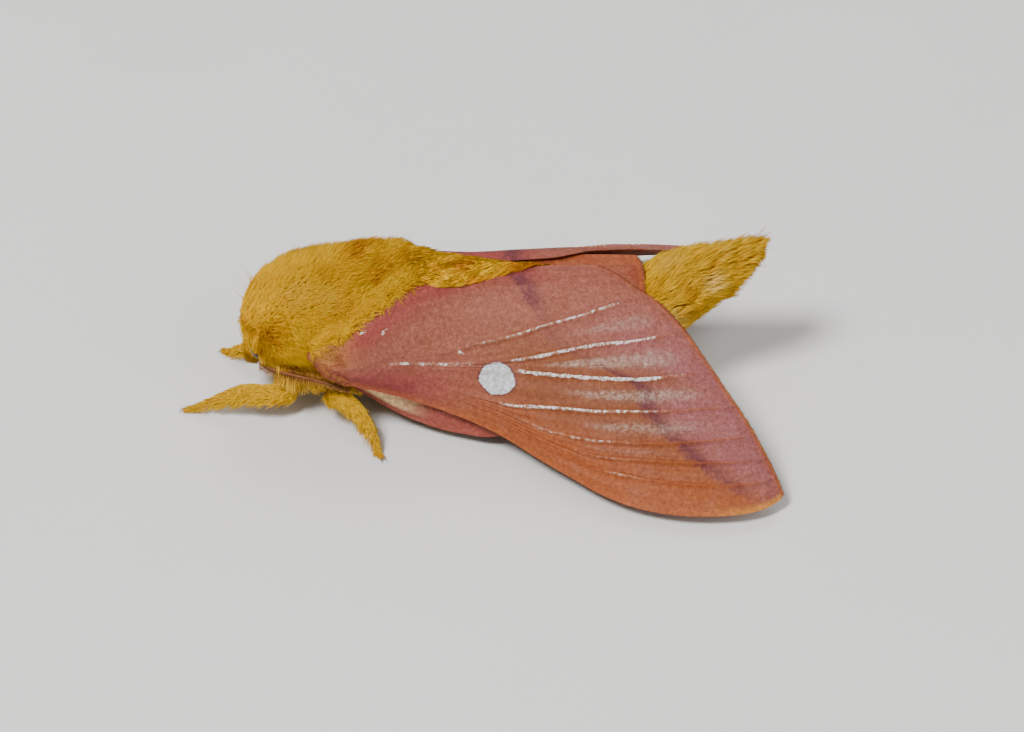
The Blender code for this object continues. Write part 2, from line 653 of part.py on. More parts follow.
def vein_lines(veins, plain, height, v, width):
    """Fractions across the wing of every grid line at one row, and each line's raised height."""
    crests = [interp(vein, v)[0] for vein in veins]
    half = VEIN_HALF / width
    lines = [0.0]
    for i, crest in enumerate(crests):
        before = crests[i - 1] if i else 0.0
        after = crests[i + 1] if i + 1 < len(crests) else 1.0
        start = lines[-1]
        end = crest - min(half, (crest - before) / 3)
        for k in range(plain[i]):
            lines.append(start + (end - start) * (k + 1) / (plain[i] + 1))
        lines.append(end)
        lines.append(crest)
        lines.append(crest + min(half, (after - crest) / 3))
    lines.append(1.0)
    heights = []
    for u in lines:
        near = min(abs(u - crest) for crest in crests) * width
        heights.append(height * max(0.0, 1 - near / VEIN_HALF))
    return lines, heights


def build_wing(name, side, point_at, layout, rows, mat):
    """Closed sheet with raised veins on its upper face."""
    top = []
    bottom = []
    for v in rows:
        width = (point_at(side, 1.0, v)[0] - point_at(side, 0.0, v)[0]).length
        lines, heights = vein_lines(*layout, v, width)
        fade = smooth(v / 0.12) * (1 - 0.5 * smooth((v - 0.9) / 0.1))
        for u, height in zip(lines, heights):
            p, n = point_at(side, u, v)
            up = p + n * (SHEET / 2 + height * fade)
            down = p - n * SHEET / 2
            top.append((up.x * side, up.y, up.z))
            bottom.append((down.x * side, down.y, down.z))
    columns = len(top) // len(rows)
    offset = len(top)
    faces = []
    for i in range(len(rows) - 1):
        for j in range(columns - 1):
            a = i * columns + j
            b = a + 1
            c = a + columns + 1
            d = a + columns
            faces.append((a, b, c))
            faces.append((a, c, d))
            faces.append((offset + a, offset + c, offset + b))
            faces.append((offset + a, offset + d, offset + c))
    rim = [j for j in range(columns)]
    rim += [i * columns + columns - 1 for i in range(1, len(rows))]
    rim += [(len(rows) - 1) * columns + j for j in range(columns - 2, -1, -1)]
    rim += [i * columns for i in range(len(rows) - 2, 0, -1)]
    for k in range(len(rim)):
        a = rim[k]
        b = rim[(k + 1) % len(rim)]
        faces.append((a, offset + a, offset + b, b))
    return make_object(name, top + bottom, faces, mat)


def build_wings(fore_mat, hind_mat):
    fore_rows = [0.0, 0.07, 0.15, 0.23, 0.31, 0.39, 0.47, 0.56, 0.65, 0.74, 0.83, 0.92, 1.0]
    hind_rows = [0.0, 0.08, 0.16, 0.24, 0.34, 0.46, 0.6, 0.74, 0.88, 1.0]
    fore_layout = (FORE_VEINS, FORE_PLAIN, FORE_VEIN_HEIGHT)
    hind_layout = (HIND_VEINS, HIND_PLAIN, HIND_VEIN_HEIGHT)
    for side, word in ((1, "left"), (-1, "right")):
        build_wing("forewing_" + word, side, fore_point, fore_layout, fore_rows, fore_mat)
        build_wing("hindwing_" + word, side, hind_point, hind_layout, hind_rows, hind_mat)


def clear_scene():
    for obj in list(bpy.data.objects):
        bpy.data.objects.remove(obj)


def build():
    clear_scene()
    coat = make_material("yellow_fur", (0.72, 0.36, 0.03), 0.85)
    rose = make_material("rose_forewing", (0.5, 0.17, 0.12), 0.6)
    pink = make_material("pink_hindwing", (0.48, 0.14, 0.12), 0.65)
    dark = make_material("dark_eye", (0.03, 0.02, 0.02), 0.15)
    brown = make_material("brown_antenna", (0.25, 0.12, 0.05), 0.6)
    build_thorax(coat)
    head = build_head(coat)
    build_eyes(head, dark)
    build_abdomen(coat)
    build_legs(coat)
    build_antenna("antenna_left", 1, brown)
    build_antenna("antenna_right", -1, brown)
    build_wings(rose, pink)


build()
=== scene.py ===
"""Looks of a hornless oakworm moth at rest: skin, fur, wings and small parts over its solids.

Lengths below are millimetres in the moth's own layout, the one its solids use: t is to the
moth's left, s runs along the body from the head to the tail and z is height above the floor.
"""
import math
from functools import partial

import bmesh
import bpy
import numpy as np
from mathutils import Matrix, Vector


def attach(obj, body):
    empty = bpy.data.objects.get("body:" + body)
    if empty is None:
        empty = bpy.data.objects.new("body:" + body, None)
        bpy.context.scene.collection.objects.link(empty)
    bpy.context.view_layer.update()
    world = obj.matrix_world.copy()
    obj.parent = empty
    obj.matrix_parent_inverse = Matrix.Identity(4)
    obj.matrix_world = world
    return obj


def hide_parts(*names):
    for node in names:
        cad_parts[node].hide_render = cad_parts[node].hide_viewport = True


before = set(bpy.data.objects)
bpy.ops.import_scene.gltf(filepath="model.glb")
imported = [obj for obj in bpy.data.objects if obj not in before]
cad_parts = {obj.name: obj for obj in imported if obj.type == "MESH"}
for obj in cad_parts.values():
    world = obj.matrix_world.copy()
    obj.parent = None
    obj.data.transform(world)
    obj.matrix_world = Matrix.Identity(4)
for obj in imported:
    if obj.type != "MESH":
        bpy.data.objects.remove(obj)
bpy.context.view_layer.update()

MM = 0.001
MID_STATION = 14.2
MID_SIDE = 1.0
SHEET = 0.5
GAP = 0.3
SEED = 7
TURN = 2 * math.pi
SIDES = ((1, "left"), (-1, "right"))
MIRROR = {side: np.array([side, 1, 1]) for side, _ in SIDES}
UP = np.array([0.0, 0.0, 1.0])

# Thorax stations: s, half width, half height, centre height
THORAX = [
    (0.35, 0.8, 0.8, 5.75), (0.6, 1.5, 1.5, 5.75), (0.95, 2.1, 2.15, 5.8), (1.6, 2.8, 2.9, 5.85),
    (2.7, 3.4, 3.55, 5.9), (3.9, 3.8, 3.95, 5.9), (5.3, 4.0, 4.1, 5.95), (6.6, 4.0, 4.2, 6.0),
    (8.0, 3.8, 4.25, 6.15), (9.3, 3.35, 4.25, 6.3), (10.2, 2.9, 4.1, 6.5), (11.1, 2.4, 3.6, 6.5),
    (12.0, 1.9, 2.9, 6.85), (12.7, 1.4, 2.1, 7.2),
]
# Abdomen stations in the same way
ABDOMEN = [
    (11.6, 2.6, 2.5, 4.2), (13.0, 3.0, 2.9, 4.3), (16.0, 3.2, 3.0, 4.4), (20.0, 3.2, 2.95, 4.55),
    (22.0, 3.15, 2.85, 4.8), (24.0, 3.1, 2.75, 5.25), (25.2, 3.05, 2.75, 5.75),
    (27.0, 2.65, 2.5, 6.8), (28.8, 2.0, 2.0, 7.9), (30.3, 1.55, 1.5, 8.75),
    (31.2, 1.1, 1.1, 9.35), (32.2, 0.6, 0.6, 9.9),
]
# Line along the top of the left (1) and right (-1) forewing: s, t, z
TOP = {
    1: [
        (4.4, 3.9, 5.9), (5.0, 4.25, 6.3), (6.7, 4.5, 7.6), (8.3, 3.95, 8.65), (9.9, 2.95, 9.4),
        (11.5, 1.95, 9.5), (12.9, 1.2, 9.35), (14.5, 0.7, 9.25), (16.0, 0.55, 9.2),
        (18.0, 0.5, 9.15), (20.0, 0.45, 9.1), (22.0, 0.45, 9.05), (24.0, 0.45, 8.95),
        (26.0, 0.45, 8.75), (28.0, 0.45, 8.4), (32.0, 0.45, 7.4),
    ],
    -1: [
        (4.4, 4.1, 5.9), (5.0, 4.42, 6.2), (6.7, 4.4, 7.0), (8.3, 4.0, 7.6), (9.9, 3.35, 8.0),
        (11.5, 2.75, 8.1), (12.9, 2.4, 8.15), (14.5, 2.25, 8.2), (16.0, 2.2, 8.25),
        (18.0, 2.2, 8.3), (20.0, 2.2, 8.3), (22.0, 2.2, 8.3), (24.0, 2.2, 8.25),
        (26.0, 2.2, 8.0), (28.0, 2.2, 7.6), (32.0, 2.2, 6.8),
    ],
}
# Line along its front edge
COSTA = {
    1: [
        (4.4, 4.0, 5.1), (5.56, 4.86, 4.6), (6.8, 4.95, 4.05), (8.2, 4.95, 3.6), (9.66, 5.1, 3.2),
        (11.4, 5.54, 2.8), (13.2, 6.2, 2.4), (14.9, 7.04, 2.0), (16.05, 7.79, 1.7),
        (17.7, 9.3, 1.4), (19.4, 10.85, 1.2), (21.0, 12.25, 1.0), (22.7, 13.4, 0.9),
        (24.4, 14.1, 0.85), (26.1, 14.5, 0.85), (27.8, 14.6, 0.85), (29.3, 14.45, 0.85),
        (30.5, 14.05, 0.85), (31.4, 13.4, 0.9), (32.0, 12.8, 1.0),
    ],
    -1: [
        (4.4, 4.0, 5.1), (5.56, 4.8, 4.5), (6.8, 4.95, 4.0), (8.2, 5.0, 3.5), (9.66, 5.15, 3.1),
        (11.4, 5.5, 2.7), (13.2, 6.1, 2.3), (14.9, 6.9, 1.9), (16.05, 7.5, 1.6),
        (17.7, 8.7, 1.35), (19.4, 9.9, 1.15), (21.0, 11.0, 1.0), (22.7, 11.9, 0.9),
        (24.4, 12.4, 0.85), (26.1, 12.6, 0.85), (27.8, 12.6, 0.85), (29.3, 12.4, 0.85),
        (30.5, 12.0, 0.85), (31.4, 11.5, 0.9), (32.0, 11.1, 1.0),
    ],
}
# Outward swell of a forewing's cross section: s, height on the left, height on the right
SWELL = [(4.4, 0.05, 0.05), (6.7, 0.35, 0.3), (9.9, 0.75, 0.45), (13.0, 1.0, 0.35),
         (16.0, 1.1, 0.2), (20.0, 1.1, 0.15), (24.0, 0.9, 0.12), (28.0, 0.7, 0.12),
         (32.0, 0.5, 0.1)]
# Outer margin of a forewing: fraction of the cross section, s
FORE_MARGIN = [
    (0.0, 21.4), (0.03, 22.3), (0.07, 23.1), (0.11, 23.8), (0.15, 24.7), (0.2, 25.5),
    (0.29, 26.57), (0.4, 27.63), (0.517, 28.69), (0.637, 29.77), (0.753, 30.56),
    (0.867, 31.18), (0.964, 31.58), (1.0, 31.65),
]
# Stations of the wings' roots
FORE_ROOT_S = 4.25
HIND_ROOT_S = 6.3
# Share of the right forewing's flat inner part: s, share
FLAP = [(9.0, 0.0), (10.5, 0.5), (12.5, 1.0), (19.0, 1.0), (20.8, 0.5), (21.4, 0.1), (32.0, 0.0)]
FLAP_COLUMNS = 8
FLAP_WIDTH = 1.2
# Forewing veins from the hind margin to the costa: fraction along, fraction across
FORE_VEINS = [
    [(0.0, 0.16), (0.3, 0.2), (0.6, 0.13), (1.0, 0.05)],
    [(0.0, 0.4), (0.15, 0.53), (0.3, 0.57), (0.425, 0.485), (0.52, 0.41), (0.61, 0.338),
     (0.76, 0.25), (0.845, 0.205), (0.927, 0.175), (1.0, 0.15)],
    [(0.0, 0.46), (0.15, 0.6), (0.3, 0.645), (0.42, 0.6), (0.485, 0.55), (0.617, 0.453),
     (0.737, 0.383), (0.852, 0.345), (1.0, 0.29)],
    [(0.0, 0.52), (0.15, 0.64), (0.3, 0.68), (0.42, 0.64), (0.492, 0.595), (0.59, 0.56),
     (0.692, 0.527), (0.835, 0.492), (1.0, 0.447)],
    [(0.0, 0.68), (0.15, 0.78), (0.35, 0.825), (0.433, 0.805), (0.513, 0.742), (0.585, 0.698),
     (0.657, 0.665), (0.725, 0.638), (0.853, 0.61), (1.0, 0.58)],
    [(0.0, 0.74), (0.15, 0.82), (0.35, 0.86), (0.503, 0.84), (0.552, 0.825), (0.68, 0.768),
     (0.808, 0.735), (1.0, 0.7)],
    [(0.0, 0.8), (0.15, 0.86), (0.35, 0.89), (0.57, 0.868), (0.69, 0.825), (0.76, 0.81),
     (1.0, 0.8)],
    [(0.0, 0.86), (0.15, 0.9), (0.35, 0.92), (0.6, 0.905), (0.7, 0.885), (1.0, 0.895)],
]
# Painted highlights, glints on the veins: vein, fraction along at the start, full, still full and
# end, strength
GLINTS = [
    (1, 0.3, 0.56, 0.8, 0.97, 0.6), (2, 0.46, 0.52, 0.86, 0.96, 0.86),
    (2, 0.16, 0.22, 0.36, 0.42, 0.5), (3, 0.46, 0.52, 0.78, 0.99, 1.0),
    (4, 0.42, 0.44, 0.62, 0.92, 0.85), (5, 0.42, 0.5, 0.6, 0.86, 0.46),
    (6, 0.55, 0.6, 0.68, 0.8, 0.34), (7, 0.62, 0.65, 0.69, 0.73, 0.4),
]
# Pale streaks in the fields between the forewing veins, thinly scaled and with painted sheen:
# field, then as above
SHEEN_STREAKS = [
    (1, 0.5, 0.72, 0.88, 0.97, 0.12), (2, 0.6, 0.78, 0.9, 0.97, 0.5),
    (3, 0.5, 0.66, 0.86, 0.98, 0.85), (4, 0.5, 0.72, 0.84, 1.0, 0.75),
    (5, 0.54, 0.68, 0.8, 0.98, 0.55), (6, 0.56, 0.64, 0.74, 0.84, 0.3),
    (7, 0.6, 0.66, 0.7, 0.8, 0.1),
]
# Small dark specks near a forewing's root: fraction across, s, radius
SPECKS = [(0.417, 10.7, 0.1), (0.51, 11.4, 0.11), (0.3, 9.2, 0.07)]
# Small painted highlights as bright dots there, in the same way
GLINT_DOTS = [(0.125, 7.5, 0.1), (0.14, 7.75, 0.06), (0.258, 8.72, 0.13), (0.25, 8.95, 0.08),
        (0.55, 13.25, 0.11), (0.56, 13.5, 0.06), (0.652, 11.04, 0.08), (0.64, 10.2, 0.06)]
# Soft line beyond the white spot of a forewing: fraction across, s
PURPLE_LINE = [(0.0, 16.6), (0.05, 16.8), (0.113, 17.2), (0.22, 17.6), (0.29, 18.15),
               (0.35, 18.5), (0.42, 19.2), (0.47, 21.5), (0.525, 23.7), (0.608, 24.0),
               (0.685, 24.8), (0.718, 25.5), (0.775, 26.45), (0.83, 27.45), (0.897, 28.75),
               (0.96, 29.9), (1.0, 30.4)]
# White spot: s, fraction across, and its half sizes along and across
SPOT = (15.45, 0.674)
SPOT_HALF = (1.1, 0.92)

# Hindwing edges: s, fraction of the section where the inner edge lies
HIND_INNER = [(6.9, 0.6), (8.6, 0.4), (10.0, 0.3), (12.0, 0.14), (13.6, 0.04), (15.0, 0.0),
              (32.0, 0.0)]
# Length of the left hindwing that is carried over the midline: s, length
HIND_OVER = [(6.9, 0.0), (14.0, 0.0), (16.5, 1.0), (19.0, 1.75), (24.6, 1.8)]
# Hindwing front edge: s, length past the costa (negative inside it)
HIND_FRONT = [(6.3, 0.5), (6.9, 1.0), (7.7, 1.4), (8.6, 1.75), (9.6, 1.95), (11.4, 1.85),
              (13.1, 1.4), (14.3, 0.95), (15.5, 0.2), (17.0, -0.75), (19.0, -1.9),
              (21.0, -3.2), (24.6, -5.0)]
# Outer margin of a hindwing: fraction across, s
HIND_MARGIN = [(0.0, 24.3), (0.1, 24.5), (0.25, 24.45), (0.45, 23.9), (0.65, 23.1),
               (0.85, 22.1), (1.0, 21.0)]
# Hindwing veins, in the same way as the forewing's
HIND_VEINS = [
    [(0.0, 0.2), (0.5, 0.12), (1.0, 0.1)],
    [(0.0, 0.36), (0.5, 0.36), (1.0, 0.32)],
    [(0.0, 0.5), (0.35, 0.55), (0.6, 0.58), (1.0, 0.52)],
    [(0.0, 0.62), (0.35, 0.68), (0.6, 0.73), (1.0, 0.74)],
    [(0.0, 0.82), (0.5, 0.86), (1.0, 0.9)],
]
# Depth of a hindwing's middle surface below the forewing's
HIND_OFFSET = SHEET + GAP + 0.17

# Depths of the skin below the tips of the coat
THORAX_CORE = 0.62
ABDOMEN_CORE = 0.55
HEAD_CORE = 0.36
LEG_CORE = 0.1

# Hollow beside the thorax: its width and its rise over the wing's top
HOLLOW_WIDTH = 1.1
HOLLOW_RISE = 0.75
# Heights of the forelock's roots beside the thorax's middle, and the tail's end and line
BROW_HEIGHTS = (-0.6, 0.6)
TAIL_END = 32.0
TAIL_LINE = np.array([0.0, 0.98, 0.2])
# Strip of hair between the wings and over the left one's inner margin: s, t, z, half width
STRIP = [
    (9.6, 0.3, 10.1, 1.5), (10.8, 0.55, 9.9, 1.8), (12.0, 0.65, 9.7, 1.75),
    (13.5, 0.6, 9.5, 1.45), (15.0, 0.5, 9.3, 1.15), (17.0, 0.3, 9.05, 0.7),
    (19.0, 0.1, 8.85, 0.3), (21.0, 0.0, 8.8, 0.1),
]
EYE_RADIUS = 0.7
EYE = np.array([1.15, 1.5, 4.35])
HEAD_CENTRE = np.array([0.0, 1.95, 4.85])
# Head: place down its axis, radius
HEAD_PROFILE = [(-1.55, 0.7), (-1.25, 1.1), (-0.75, 1.42), (-0.15, 1.57), (0.45, 1.52),
                (0.95, 1.36), (1.35, 1.12), (1.7, 0.75), (1.9, 0.35)]
HEAD_AXIS = np.array([0.0, -0.45, -0.89])
HEAD_BACK = np.array([0.0, 0.89, -0.45])
HEAD_DEEP = 0.9

# Leg paths: t, s, z, half width, half height
LEGS = {
    "leg_fore_left": [
        (1.5, 3.6, 1.85, 0.42, 0.5), (2.1, 3.0, 1.72, 0.5, 0.6), (2.5, 1.8, 1.88, 0.48, 0.62),
        (2.2, 0.5, 1.75, 0.42, 0.62), (1.95, -0.6, 1.3, 0.38, 0.48),
        (1.75, -1.7, 0.8, 0.31, 0.34), (1.65, -2.5, 0.42, 0.26, 0.26),
        (1.6, -3.0, 0.24, 0.26, 0.27), (1.57, -3.35, 0.23, 0.24, 0.25),
    ],
    "leg_fore_right": [
        (-1.5, 3.6, 1.85, 0.42, 0.5), (-2.1, 3.1, 1.75, 0.5, 0.65), (-2.6, 2.2, 1.7, 0.46, 0.62),
        (-3.1, 1.3, 1.4, 0.4, 0.52), (-3.5, 0.5, 1.0, 0.36, 0.42), (-3.85, -0.1, 0.6, 0.3, 0.32),
        (-4.1, -0.5, 0.32, 0.26, 0.27), (-4.25, -0.75, 0.24, 0.26, 0.27),
        (-4.4, -1.05, 0.23, 0.24, 0.25),
    ],
    "leg_mid_left": [
        (1.6, 5.8, 1.65, 0.45, 0.45), (2.4, 5.75, 1.75, 0.5, 0.6), (3.3, 5.9, 2.15, 0.48, 0.6),
        (4.0, 6.35, 2.4, 0.45, 0.55), (4.7, 7.1, 2.05, 0.42, 0.5), (5.5, 7.75, 1.35, 0.36, 0.4),
        (6.1, 8.1, 0.78, 0.29, 0.31), (6.5, 8.22, 0.34, 0.26, 0.27),
        (6.8, 8.34, 0.24, 0.26, 0.27), (7.1, 8.5, 0.23, 0.24, 0.25),
    ],
    "leg_hind_left": [
        (1.3, 8.3, 1.75, 0.42, 0.45), (1.9, 8.8, 1.9, 0.48, 0.56), (2.5, 9.8, 2.3, 0.42, 0.55),
        (2.9, 10.8, 2.45, 0.38, 0.48), (3.2, 11.6, 1.9, 0.34, 0.42), (3.6, 12.5, 1.2, 0.3, 0.34),
        (3.9, 13.2, 0.6, 0.26, 0.28), (4.05, 13.6, 0.3, 0.25, 0.26),
        (4.15, 13.9, 0.24, 0.26, 0.27), (4.25, 14.3, 0.23, 0.24, 0.25),
    ],
}
for word in ("mid", "hind"):
    LEGS[f"leg_{word}_right"] = [(-row[0],) + row[1:] for row in LEGS[f"leg_{word}_left"]]
# Path of the left feeler: t, s, z
ANTENNA = [
    (1.2, 1.45, 3.25), (1.9, 2.1, 3.2), (2.8, 3.1, 3.45), (3.5, 4.2, 3.6), (4.05, 5.2, 3.65),
    (4.4, 6.05, 3.5), (4.5, 6.7, 3.3),
]
# Solids that the skin takes the place of
FLESH = ["thorax", "head", "abdomen"] + list(LEGS)

# Camera of the photograph: direction, distance and pixels for each millimetre at the target
VIEW_AZIMUTH = 86.8
VIEW_ELEVATION = 36.0
VIEW_DISTANCE = 250.0
VIEW_SCALE = 16.5
IMAGE_WIDTH = 1024
SENSOR = 36.0
VIEW_TARGET = (0.0, 16.6, 1.5)

rng = np.random.default_rng(SEED)


# Numbers and places

def interp(table, x):
    """Smooth values between the rows of a table whose first column rises, one array a column."""
    rows = np.array(table, float)
    keys, values = rows[:, 0], rows[:, 1:]
    x = np.clip(np.asarray(x, float), keys[0], keys[-1])
    last = len(keys) - 1
    i = np.clip(np.searchsorted(keys, x, side="right") - 1, 0, last - 1)
    lo = np.maximum(i - 1, 0)
    hi = np.minimum(i + 2, last)
    step = keys[i + 1] - keys[i]
    f = ((x - keys[i]) / step)[..., None]
    m0 = (values[i + 1] - values[lo]) * (step / (keys[i + 1] - keys[lo]))[..., None]
    m1 = (values[hi] - values[i]) * (step / (keys[hi] - keys[i]))[..., None]
    out = (2 * f ** 3 - 3 * f ** 2 + 1) * values[i] + (f ** 3 - 2 * f ** 2 + f) * m0
    out = out + (-2 * f ** 3 + 3 * f ** 2) * values[i + 1] + (f ** 3 - f ** 2) * m1
    return list(np.moveaxis(out, -1, 0))


def place(points):
    """Layout millimetres to scene metres."""
    return (np.asarray(points, float) - (MID_SIDE, MID_STATION, 0.0)) * MM


def smooth(x):
    x = np.clip(x, 0.0, 1.0)
    return x * x * (3 - 2 * x)


def unit(v):
    return v / np.maximum(np.linalg.norm(v, axis=-1, keepdims=True), 1e-9)


def stack(t, s, z):
    return np.stack(np.broadcast_arrays(t, s, z), -1).astype(float)


def round_turn(count):
    return np.linspace(0, TURN, count, endpoint=False)


# Body surfaces

def trunk_point(table, s, angle, depth):
    """Points on a body surface at stations, angles round it and depths below its outline."""
    a, b, z = interp(table, s)
    a = np.maximum(a - depth, 0.05)
    b = np.maximum(b - depth, 0.05)
    return stack(a * np.cos(angle), s, z + b * np.sin(angle))


thorax_outline = partial(trunk_point, THORAX)


def wing_top_height(point, s):
    """Height of the top of the forewing on a point's side."""
    return np.where(point[..., 0] > 0, interp(TOP[1], s)[1], interp(TOP[-1], s)[1])


def under_wing(s, point, lower=0.0):
    """0 where the thorax's coat is free, 1 where the wings lie on it."""
    top = wing_top_height(point, s) - lower
    low = interp(COSTA[1], s)[1]
    z = point[..., 2]
    inside = smooth((top + 0.1 - z) / 0.7) * smooth((z - low + 1.0) / 0.8)
    return inside * smooth((s - 4.0) / 0.5) * (s >= 4.4)


def thorax_skin(s, angle, depth):
    free = thorax_outline(s, angle, 0.0)
    cover = under_wing(s, free) * 0.65
    feeler = smooth((5.0 - free[..., 2]) / 0.8) * 0.5
    return thorax_outline(s, angle, np.maximum(depth, np.maximum(cover, feeler)))


def abdomen_skin(s, angle, depth):
    """The coat lies flat where the wings rest on the abdomen."""
    cover = smooth(np.sin(angle) * 3 + 0.5) * smooth((25.6 - s) / 1.0)
    return trunk_point(ABDOMEN, s, angle, np.maximum(depth, 0.9 * cover))


def head_point(along, angle, depth):
    """Points of the head down its axis; the angle goes once round from the left."""
    radius = np.maximum(interp(HEAD_PROFILE, along)[0] - depth, 0.03)
    point = HEAD_CENTRE + HEAD_AXIS * np.asarray(along, float)[..., None]
    point = point + np.array([1.0, 0.0, 0.0]) * (radius * np.cos(angle))[..., None]
    return point + HEAD_BACK * (radius * HEAD_DEEP * np.sin(angle))[..., None]


def inside_trunk(table, points, margin):
    a, b, z = interp(table, points[..., 1])
    s = points[..., 1]
    within = (s > table[0][0]) & (s < table[-1][0])
    a = np.maximum(a - margin, 0.05)
    b = np.maximum(b - margin, 0.05)
    return within & ((points[..., 0] / a) ** 2 + ((points[..., 2] - z) / b) ** 2 < 1.0)


def inside_head(points, margin):
    rel = points - HEAD_CENTRE
    along = rel @ HEAD_AXIS
    radius = interp(HEAD_PROFILE, along)[0]
    far = (along < HEAD_PROFILE[0][0]) | (along > HEAD_PROFILE[-1][0])
    return (np.hypot(rel[..., 0], rel @ HEAD_BACK / HEAD_DEEP) < radius - margin) & ~far


def leg_point(name, run, angle, depth):
    """Points of a leg at runs along its path; the angle turns from its side over its top."""
    rows = [(i,) + row for i, row in enumerate(LEGS[name])]
    t, s, z, wide, high = interp(rows, run)
    after = stack(*interp(rows, np.asarray(run) + 0.05)[:3])
    ahead = unit(after - stack(*interp(rows, np.asarray(run) - 0.05)[:3]))
    side = unit(np.cross(ahead, UP))
    up = np.cross(side, ahead)
    wide = np.maximum(wide - depth, 0.05)
    high = np.maximum(high - depth, 0.05)
    out = stack(t, s, z) + side * (wide * np.cos(angle))[..., None]
    out = out + up * (high * np.sin(angle))[..., None]
    out[..., 2] = np.maximum(out[..., 2], 0.02)
    return out


# Wing surfaces

def roof(side, s, w):
    """Points of a forewing's middle surface: w runs from the back (0) to the front edge (1)."""
    tt, zt = interp(TOP[side], s)
    tb, zb = interp(COSTA[side], s)
    swell = interp(SWELL, s)[0 if side > 0 else 1]
    dt = tb - tt
    dz = zb - zt
    size = np.hypot(dt, dz)
    k = swell * 4 * w * (1 - w) * (1.35 - 0.7 * w)
    return stack(tt + dt * w - dz / size * k, s, zt + dz * w + dt / size * k)


def roof_width(side, s):
    return np.linalg.norm(roof(side, s, 1.0) - roof(side, s, 0.0), axis=-1)


def roof_normal(side, s, w):
    ds = roof(side, s + 0.05, w) - roof(side, s - 0.05, w)
    dw = roof(side, s, w + 0.01) - roof(side, s, w - 0.01)
    return -unit(np.cross(ds, dw))


def fore_point(side, u, v):
    """Points, normals and stations of a forewing: u runs across it and v along it.

    Below 0, u runs over the narrow part of the right forewing that lies flat on the back.
    """
    s = FORE_ROOT_S + (interp(FORE_MARGIN, u)[0] - FORE_ROOT_S) * v
    inside = np.maximum(u, 0.0)
    over = np.maximum(-u, 0.0) * interp(FLAP, s)[0]
    points = roof(side, s, inside)
    points = points + stack(-1.25 * over, 0.0, 0.42 * np.sin(over * 0.5 * math.pi))
    flat = smooth(over * 2)[..., None]
    normal = roof_normal(side, s, inside) * (1 - flat) + np.array([0.15, 0.0, 1.0]) * flat
    return points, unit(normal), s


def hind_point(side, u, v):
    """Points, normals and stations of a hindwing, tucked under the forewing."""
    s = HIND_ROOT_S + (interp(HIND_MARGIN, u)[0] - HIND_ROOT_S) * v
    length = roof_width(side, s)
    over = interp(HIND_OVER, s)[0] if side > 0 else 0.0
    start = interp(HIND_INNER, s)[0] * length - over
    end = length + interp(HIND_FRONT, s)[0]
    along = start + (end - start) * u
    w = np.clip(along / length, 0.0, 1.0)
    normal = roof_normal(side, s, w)
    before = np.maximum(-along, 0.0)[..., None]
    base = roof(side, s, w) - normal * HIND_OFFSET + np.array([-1.0, 0.0, 0.12]) * before
    tangent = unit(roof(side, s, 1.0) - roof(side, s, 0.97))
    base = base + tangent * np.maximum(along - length, 0.0)[..., None]
    return base, unit(normal * (1 - before / 2) + UP * before / 2), s


# Meshes

def link(name, data):
    obj = bpy.data.objects.new(name, data)
    bpy.context.scene.collection.objects.link(obj)
    return obj


def shade(mesh, material):
    mesh.materials.append(material)
    mesh.polygons.foreach_set("use_smooth", np.full(len(mesh.polygons), True))


def array_piece(name, points, polygons, material):
    """Mesh object from layout points and an array of polygons with equal corner counts."""
    mesh = bpy.data.meshes.new(name)
    mesh.vertices.add(len(points))
    mesh.vertices.foreach_set("co", place(points).astype(np.float32).ravel())
    mesh.loops.add(polygons.size)
    mesh.loops.foreach_set("vertex_index", polygons.astype(np.int32).ravel())
    mesh.polygons.add(len(polygons))
    starts = np.arange(len(polygons), dtype=np.int32) * polygons.shape[1]
    mesh.polygons.foreach_set("loop_start", starts)
    mesh.update(calc_edges=True)
    shade(mesh, material)
    return link(name, mesh)


def closed_mesh(name, solids):
    """Mesh of closed forms, each given as points and polygons that may repeat a corner."""
    bm = bmesh.new()
    for points, faces in solids:
        verts = [bm.verts.new(p) for p in points]
        for face in faces:
            bm.faces.new([verts[i] for i in dict.fromkeys(face.tolist())])
    bmesh.ops.recalc_face_normals(bm, faces=bm.faces)
    mesh = bpy.data.meshes.new(name)
    bm.to_mesh(mesh)
    bm.free()
    return mesh


def closed_piece(name, rings, material):
    """Object of one closed skin through rings of layout points."""
    points, faces = grid_solid(rings)
    mesh = closed_mesh(name, [(place(points), faces)])
    shade(mesh, material)
    return link(name, mesh)


def grid_solid(rings):
    """Points and polygons of a closed skin through rings of equal length."""
    count = len(rings[0])
    points = np.concatenate(rings)
    faces = []
    for k in range(len(rings) - 1):
        a = np.arange(count) + k * count
        b = np.roll(a, -1)
        faces.append(np.stack([a, b, b + count, a + count], -1))
    for ring, flip in ((0, True), (len(rings) - 1, False)):
        ends = [np.full(count, len(points))] * 2
        points = np.concatenate([points, [rings[ring].mean(0)]])
        a = np.arange(count) + ring * count
        b = np.roll(a, -1)
        faces.append(np.stack([b, a, *ends] if flip else [a, b, *ends], -1))
    return points, np.concatenate(faces)


def add_value(obj, name, values):
    layer = obj.data.attributes.new(name, "FLOAT", "POINT")
    layer.data.foreach_set("value", np.asarray(values, np.float32).ravel())


def finish_piece(obj, slot_name, *nodes):
    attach(obj, "root")
    if nodes:
        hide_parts(*nodes)


# Tufts: a thin tapered lock of three-cornered rings that ends in a point

# Places of the rings and the tip along long and short tufts, and the rings' widths
RUN_LONG = np.array([0.0, 0.38, 0.74, 1.0])
RUN_SHORT = np.array([0.0, 0.55, 1.0])
WIDTH_LONG = np.array([0.8, 1.0, 0.62])
WIDTH_SHORT = np.array([1.0, 0.75])
# Size of a tuft's patch on the unwrap
PATCH = 0.003
PIECE_TRIANGLES = 190000
CLUMP_CELLS = (101, 103)
